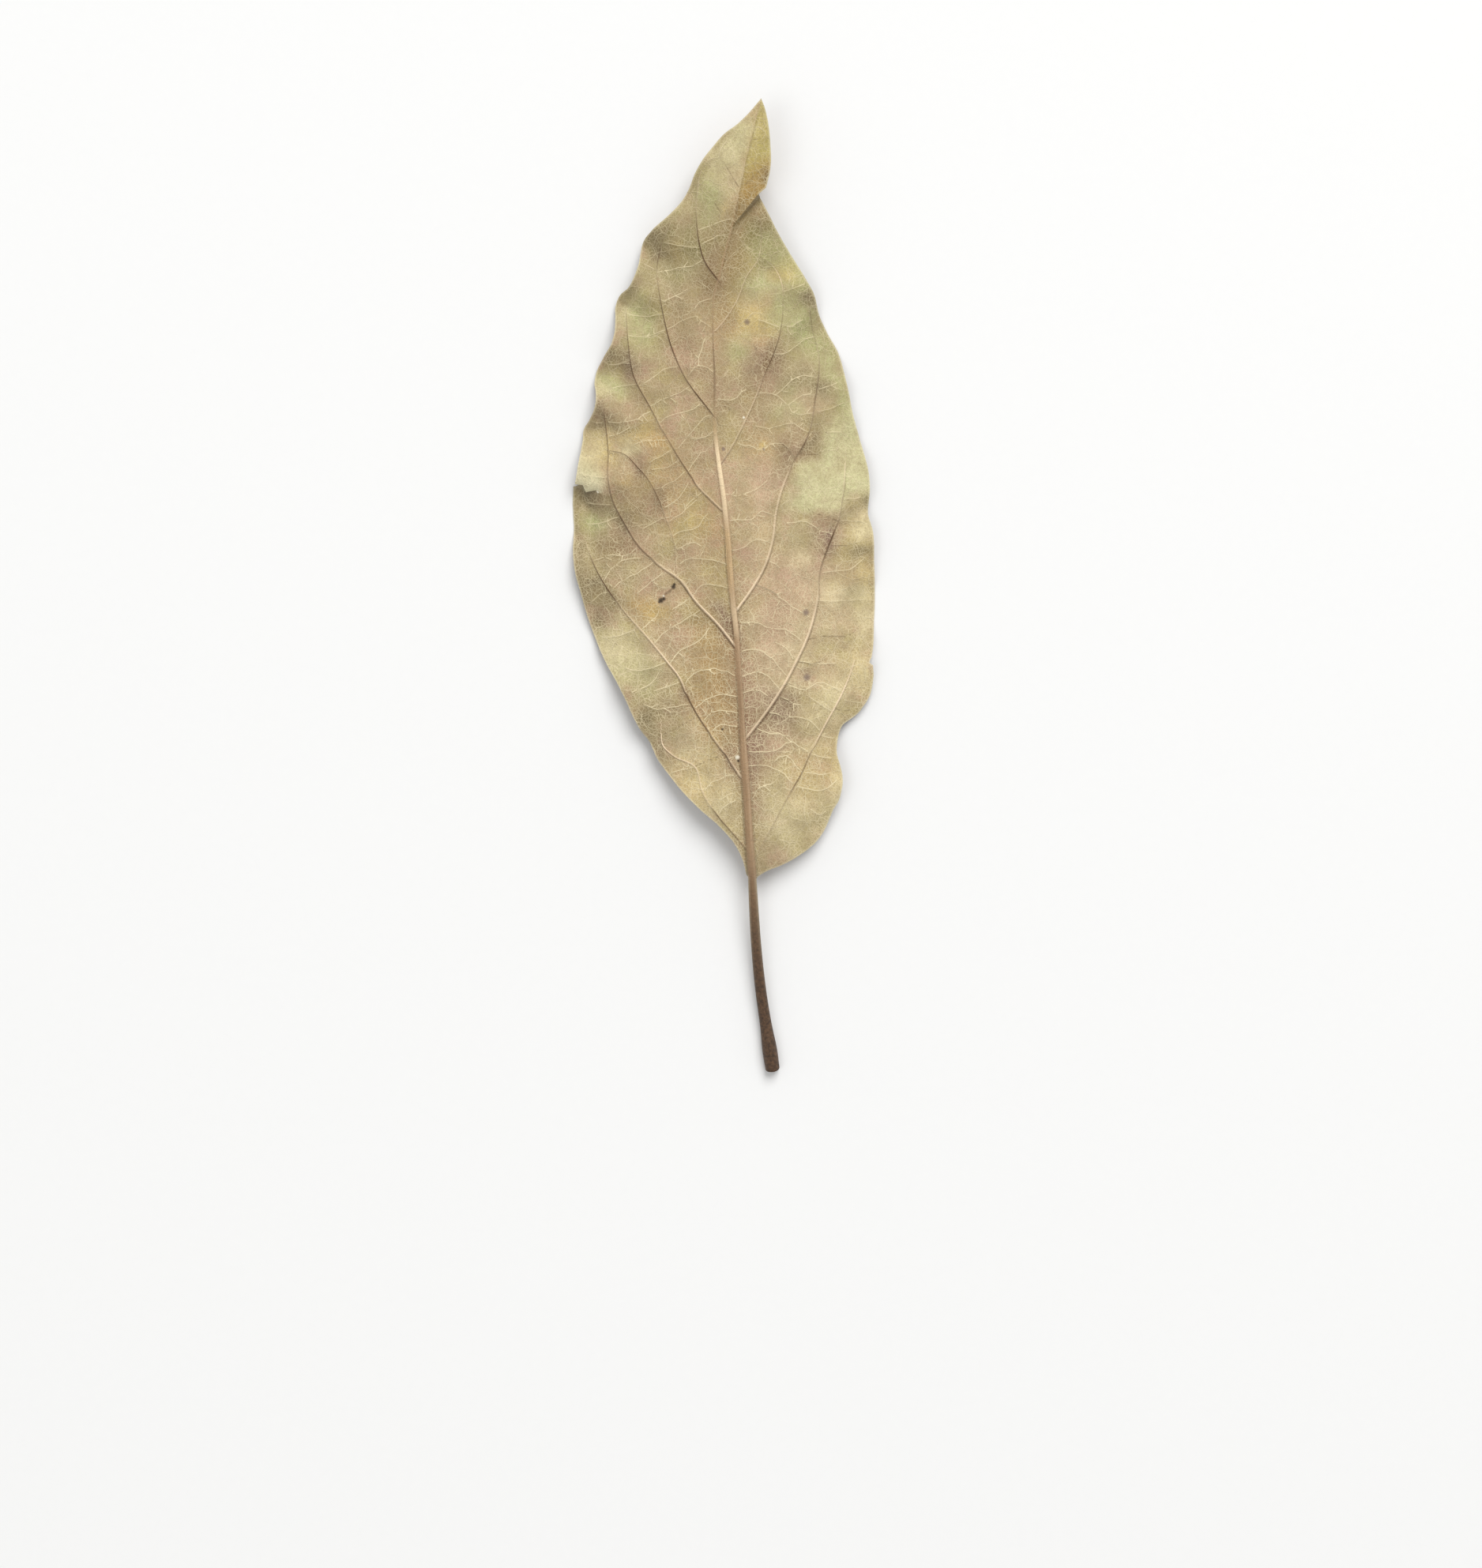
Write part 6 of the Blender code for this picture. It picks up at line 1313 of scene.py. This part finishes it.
class Nodes:
    """Adds nodes to a material and links them. A value may be an output, a plain number or colour, or a name.

    A name stands for an output that was kept under it, or else for the mesh's measure of that name.
    """

    def __init__(self, name):
        self.material = bpy.data.materials.new(name)
        self.material.use_nodes = True
        self.tree = self.material.node_tree
        self.shader = self.tree.nodes["Principled BSDF"]
        self.kept = {}

    def add(self, kind, **settings):
        node = self.tree.nodes.new(kind)
        for name, value in settings.items():
            setattr(node, name, value)
        return node

    def named(self, name):
        if name not in self.kept:
            self.kept[name] = self.add("ShaderNodeAttribute", attribute_name=name).outputs["Fac"]
        return self.kept[name]

    def feed(self, socket, value):
        """Links an output to a socket, or sets the socket to a plain value."""
        if isinstance(value, str):
            value = self.named(value)
        if isinstance(value, bpy.types.NodeSocket):
            self.tree.links.new(value, socket)
        else:
            socket.default_value = value

    def feed_all(self, node, values):
        for name, value in values.items():
            self.feed(node.inputs[name], value)

    def math(self, operation, *values):
        node = self.add("ShaderNodeMath", operation=operation)
        for socket, value in zip(node.inputs, values):
            self.feed(socket, value)
        return node.outputs[0]

    def times(self, first, second):
        return self.math("MULTIPLY", first, second)

    def plus(self, first, second):
        return self.math("ADD", first, second)

    def most(self, first, second):
        return self.math("MAXIMUM", first, second)

    def size(self, value):
        return self.math("ABSOLUTE", value)

    def ramp(self, value, start, end, low=0.0, high=1.0):
        """Goes smoothly from low to high as the value goes from start to end."""
        node = self.add("ShaderNodeMapRange", interpolation_type="SMOOTHSTEP")
        self.feed_all(node, {"Value": value, "From Min": start, "From Max": end, "To Min": low, "To Max": high})
        return node.outputs["Result"]

    def mix(self, factor, first, second):
        node = self.add("ShaderNodeMix", data_type="RGBA")
        for index, value in zip((0, 6, 7), (factor, first, second)):
            self.feed(node.inputs[index], value)
        return node.outputs[2]

    def washed(self, skin, washes):
        """Lays washes over a colour, each as (what its share follows, the share's ramp, colour)."""
        for followed, ramp, tint in washes:
            skin = self.mix(self.ramp(followed, *ramp), skin, tint)
        return skin

    def covered(self, skin, covers):
        """Lays colours over a colour, each as (what its share follows, most share, colour)."""
        for followed, most, tint in covers:
            skin = self.mix(self.times(followed, most), skin, tint)
        return skin

    def vector(self, operation, *values):
        """Returns the outcome of a vector operation on places."""
        node = self.add("ShaderNodeVectorMath", operation=operation)
        for socket, value in zip(node.inputs, values):
            self.feed(socket, value)
        return node.outputs[0]

    def scaled(self, place, factor):
        node = self.add("ShaderNodeVectorMath", operation="SCALE")
        self.feed_all(node, {0: place, "Scale": factor})
        return node.outputs[0]

    def noise(self, place, per_mm, detail, roughness):
        """Returns smooth noise from 0 to 1 with so many bumps a millimetre."""
        node = self.add("ShaderNodeTexNoise", noise_dimensions="3D")
        self.feed_all(node, {"Vector": place, "Scale": per_mm, "Detail": detail, "Roughness": roughness})
        return node.outputs["Fac"]

    def warped(self, place, per_mm, reach):
        """Returns the place pushed about by noise, by up to a reach in millimetres."""
        push = self.add("ShaderNodeTexNoise", noise_dimensions="3D")
        self.feed_all(push, {"Vector": place, "Scale": per_mm})
        centred = self.vector("SUBTRACT", push.outputs["Color"], (0.5, 0.5, 0.5))
        return self.vector("ADD", place, self.scaled(centred, 2 * reach))

    def cells(self, place, per_mm):
        """Returns the distance in millimetres to the nearest edge of a net of cells."""
        node = self.add("ShaderNodeTexVoronoi", voronoi_dimensions="2D", feature="DISTANCE_TO_EDGE")
        self.feed_all(node, {"Vector": place, "Scale": per_mm, "Randomness": CELL_RANDOMNESS})
        return self.times(node.outputs["Distance"], 1.0 / per_mm)

    def turned(self, place):
        """Returns the place turned out of line with the axes, so that noise has no grain along them."""
        node = self.add("ShaderNodeVectorRotate", rotation_type="EULER_XYZ")
        self.feed_all(node, {"Vector": place, "Rotation": NOISE_TURN})
        return node.outputs[0]

    def plan_place(self):
        """Returns the place on the leaf in millimetres."""
        return self.scaled(self.add("ShaderNodeTexCoord").outputs["Object"], 1.0 / MM)


def fine_net(nodes, place):
    """Returns how strongly the net shows, and keeps the lines of its cells for the relief."""
    net_place = nodes.warped(place, *NET_WARP)
    net = 0.0
    for name, (per_mm, line, most, _) in NET_CELLS.items():
        nodes.kept[name] = nodes.ramp(nodes.cells(net_place, per_mm), *line)
        net = nodes.most(net, nodes.times(name, most))
    net = nodes.times(net, nodes.ramp("mottle", *CELL_MOTTLE))
    strand = nodes.times(nodes.ramp("net_gap", *STRAND_LINE), nodes.ramp("mottle", *STRAND_MOTTLE))
    return nodes.times(nodes.most(net, strand), "net_bold")


def blade_colours(nodes):
    """Colours the blade, its folded tip, its patches, what lies beside the midrib and the flap above the tear."""
    skin = nodes.washed(TAN, FIRST_WASHES)
    folded = nodes.times("right_of_rib", nodes.ramp("past_fold", *FOLD_CREASE))
    tip = nodes.mix(nodes.ramp("past_fold", *FOLD_TINT), FOLDED, FOLDED_PALE)
    skin = nodes.mix(nodes.times(folded, FOLDED_SHARE), skin, tip)
    patchy = nodes.ramp("mottle", *PATCH_MOTTLE)
    for name, (tint, most, _) in PATCHES.items():
        strength = nodes.times(name, nodes.times(patchy, most))
        skin = nodes.mix(nodes.math("MINIMUM", strength, 1.0), skin, colour(*tint))
    skin = nodes.mix(nodes.times("field", nodes.times(patchy, GREEN_FIELD_SHARE)), skin, GREEN)
    beside_rib = nodes.mix(nodes.ramp("rib_across", *BESIDE_RIB), BESIDE_LEFT, BESIDE_RIGHT)
    rib_side = nodes.times("rib_side", nodes.ramp("rib_across", *BESIDE_RIB, BESIDE_LEFT_SHARE, 1.0))
    skin = nodes.mix(nodes.times(rib_side, nodes.ramp("mottle", *BESIDE_MOTTLE)), skin, beside_rib)
    # Painted shade in the valley right of the midrib, by the folded tip.
    in_valley = nodes.times("right_of_rib", nodes.ramp("rib_across", *VALLEY_ACROSS))
    skin = nodes.mix(nodes.times(in_valley, "valley_shade"), skin, VALLEY_SHADE)
    return nodes.washed(nodes.covered(skin, FLAP_COVERS), GRAIN_WASHES)


def vein_colours(nodes, skin):
    """Colours the side veins' crests, and a dark line on each or, where pale, painted shade along its lower side."""
    crest = nodes.times(nodes.ramp("beside_vein", *VEIN_CREST), "vein_pale")
    # Beside a pale crest the dark line moves to the vein's lower side, as painted shade.
    moved = nodes.size(nodes.plus("vein_across", nodes.ramp("vein_pale", *VEIN_LINE_SHIFT)))
    line = nodes.times(nodes.ramp(moved, *VEIN_LINE), "vein_dark_and_shade")
    return nodes.mix(line, nodes.mix(crest, skin, CREAM), VEIN_BROWN)


def rib_grain(nodes, place):
    """Returns noise drawn out along the midrib and the stalk."""
    apart = nodes.add("ShaderNodeSeparateXYZ")
    nodes.feed(apart.inputs[0], place)
    joined = nodes.add("ShaderNodeCombineXYZ")
    nodes.feed_all(joined, {"X": "rib_across", "Y": nodes.times(apart.outputs["Y"], RIB_GRAIN_STRETCH)})
    return nodes.noise(joined.outputs[0], *RIB_GRAIN)


def rib_colours(nodes, skin, place):
    """Colours the midrib and stalk, with lengthwise stripes, dark edges and a painted highlight right of the crest."""
    body = nodes.mix("rib_ochre", RIB_TAN, RIB_YELLOW)
    body = nodes.mix(nodes.ramp(rib_grain(nodes, place), *RIB_STRIPES), body, RIB_BROWN)
    skin = nodes.mix(nodes.times(nodes.ramp("beside_rib", *RIB_BODY), "rib_bold"), skin, body)
    # A painted highlight along the midrib's right flank.
    painted_highlight = nodes.times(nodes.ramp("rib_across", *RIB_HIGHLIGHT_START), nodes.ramp("rib_across", *RIB_HIGHLIGHT_END))
    skin = nodes.mix(nodes.times(nodes.times(painted_highlight, "rib_bold"), RIB_HIGHLIGHT_SHARE), skin, CREAM)
    pale = nodes.times(nodes.ramp("beside_rib", *RIB_PALE), "rib_tone")
    skin = nodes.mix(nodes.most(pale, 0.0), skin, RIB_CREAM)
    dark = nodes.times(nodes.ramp("beside_rib", *RIB_DARK), nodes.ramp("rib_tone", 0.0, -1.0))
    skin = nodes.mix(dark, skin, VEIN_BROWN)
    # Dark lines along both edges, partly painted shade, which deepens the left one.
    edge = nodes.ramp(nodes.size(nodes.math("SUBTRACT", "beside_rib", RIB_EDGE_PLACE)), *RIB_EDGE_LINE)
    edge = nodes.times(edge, nodes.ramp("rib_across", *RIB_EDGE_SIDES))
    return nodes.mix(nodes.times(edge, "rib_edge"), skin, VEIN_BROWN)


def under_colours(nodes, net):
    """Colours the underside, plainer than the top."""
    under = nodes.washed(UNDER_BROWN, UNDER_WASHES)
    under = nodes.mix(nodes.times(net, UNDER_NET_SHARE), under, NET)
    return nodes.washed(under, UNDER_VEIN_WASHES)


def leaf_relief(nodes):
    """Returns the height in millimetres of what is finer than the mesh."""
    relief = 0.0
    for name, (_, _, _, height) in NET_CELLS.items():
        relief = nodes.plus(relief, nodes.times(name, height))
    for name, height in NOISE_HEIGHTS.items():
        relief = nodes.plus(relief, nodes.times(name, height))
    return relief


def leaf_material():
    """Colours the leaf by its measures, with noise for the mottling and grain and cells for the finest net."""
    nodes = Nodes(SKIN_NAME)
    place = nodes.plan_place()
    turned = nodes.turned(place)
    for name, settings in NOISES.items():
        nodes.kept[name] = nodes.noise(turned, *settings)
    nodes.kept["tone"] = nodes.noise(place, *TONE_NOISE)
    nodes.kept["right_of_rib"] = nodes.ramp("rib_across", *RIGHT_OF_RIB)
    nodes.kept["beside_rib"] = nodes.size("rib_across")
    nodes.kept["beside_vein"] = nodes.size("vein_across")

    net = fine_net(nodes, place)
    skin = nodes.mix(net, blade_colours(nodes), NET)
    skin = nodes.washed(skin, STRAND_WASHES)
    skin = vein_colours(nodes, skin)
    skin = rib_colours(nodes, skin, place)
    skin = nodes.covered(nodes.washed(skin, RIM_WASHES), TEAR_COVERS)
    below_crease = nodes.times(nodes.ramp("past_fold", *FOLD_CREASE, 1.0, 0.0), "right_of_rib")
    deepening = nodes.math("POWER", nodes.ramp("past_fold", *FOLD_SHADOW), FOLD_SHADOW_BEND)
    skin = nodes.mix(nodes.times(nodes.times(below_crease, deepening), FOLD_SHADOW_SHARE), skin, FOLD_DARK)
    skin = nodes.covered(skin, MARK_COVERS)
    skin = nodes.mix("top", under_colours(nodes, net), skin)
    skin = nodes.mix("stalk", skin, nodes.mix(nodes.ramp("grain", *BARK_GRAIN), STALK_DARK, STALK_BROWN))

    bump = nodes.add("ShaderNodeBump")
    nodes.feed_all(bump, {"Distance": MM, "Height": leaf_relief(nodes)})
    nodes.feed_all(nodes.shader, SKIN_FINISH)
    nodes.feed_all(nodes.shader, {
        "Base Color": skin,
        "Roughness": nodes.ramp("grain", *SKIN_ROUGHNESS),
        "Normal": bump.outputs["Normal"],
    })
    return nodes.material


def floor_material():
    """A pale matt surface with the faintest grain."""
    nodes = Nodes("floor")
    grain = nodes.noise(nodes.plan_place(), *FLOOR_GRAIN)
    fleck = tuple(c * FLOOR_FLECK for c in FLOOR_COLOUR[:3]) + (1.0,)
    nodes.feed_all(nodes.shader, {
        "Base Color": nodes.mix(grain, FLOOR_COLOUR, fleck),
        "Roughness": FLOOR_ROUGHNESS,
    })
    return nodes.material


def make_stage():
    bpy.ops.mesh.primitive_plane_add(size=FLOOR_SIZE, location=(0.0, 0.0, -FLOOR_GAP))
    floor = bpy.context.object
    floor.name = "floor"
    floor.data.materials.append(floor_material())
    world = bpy.data.worlds.new("studio")
    world.use_nodes = True
    background = world.node_tree.nodes["Background"]
    background.inputs["Color"].default_value = WORLD_COLOUR
    background.inputs["Strength"].default_value = WORLD_STRENGTH
    bpy.context.scene.world = world
    for name, place, size, watts in LAMPS:
        lamp = bpy.data.lights.new(name, "AREA")
        lamp.shape = "DISK"
        lamp.size = size
        lamp.energy = watts
        spot = bpy.data.objects.new(name, lamp)
        spot.location = place
        spot.rotation_euler = (-Vector(place)).to_track_quat("-Z", "Y").to_euler()
        bpy.context.scene.collection.objects.link(spot)


def make_camera():
    """Looks straight down on the leaf, at the scale and place of the photograph's frame."""
    centre = [(p - q * 0.5) for p, q in zip(PHOTO_ORIGIN, PHOTO_SIZE)]
    x = -centre[0] / PHOTO_PER_MM - PLAN_CENTRE[0]
    y = centre[1] / PHOTO_PER_MM - PLAN_CENTRE[1]
    camera = bpy.data.cameras.new("camera")
    camera.sensor_width = SENSOR
    camera.lens = SENSOR * CAMERA_DISTANCE / (PHOTO_SIZE[1] / PHOTO_PER_MM * MM)
    camera.clip_start = CAMERA_NEAREST
    eye = bpy.data.objects.new("camera", camera)
    eye.location = (x * MM, y * MM, LEAF_MIDDLE + CAMERA_DISTANCE)
    bpy.context.scene.collection.objects.link(eye)
    bpy.context.scene.camera = eye


leaf = make_leaf()
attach(leaf, "root")
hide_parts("leaf")
make_stage()
make_camera()
bpy.context.scene.view_settings.view_transform = "Standard"
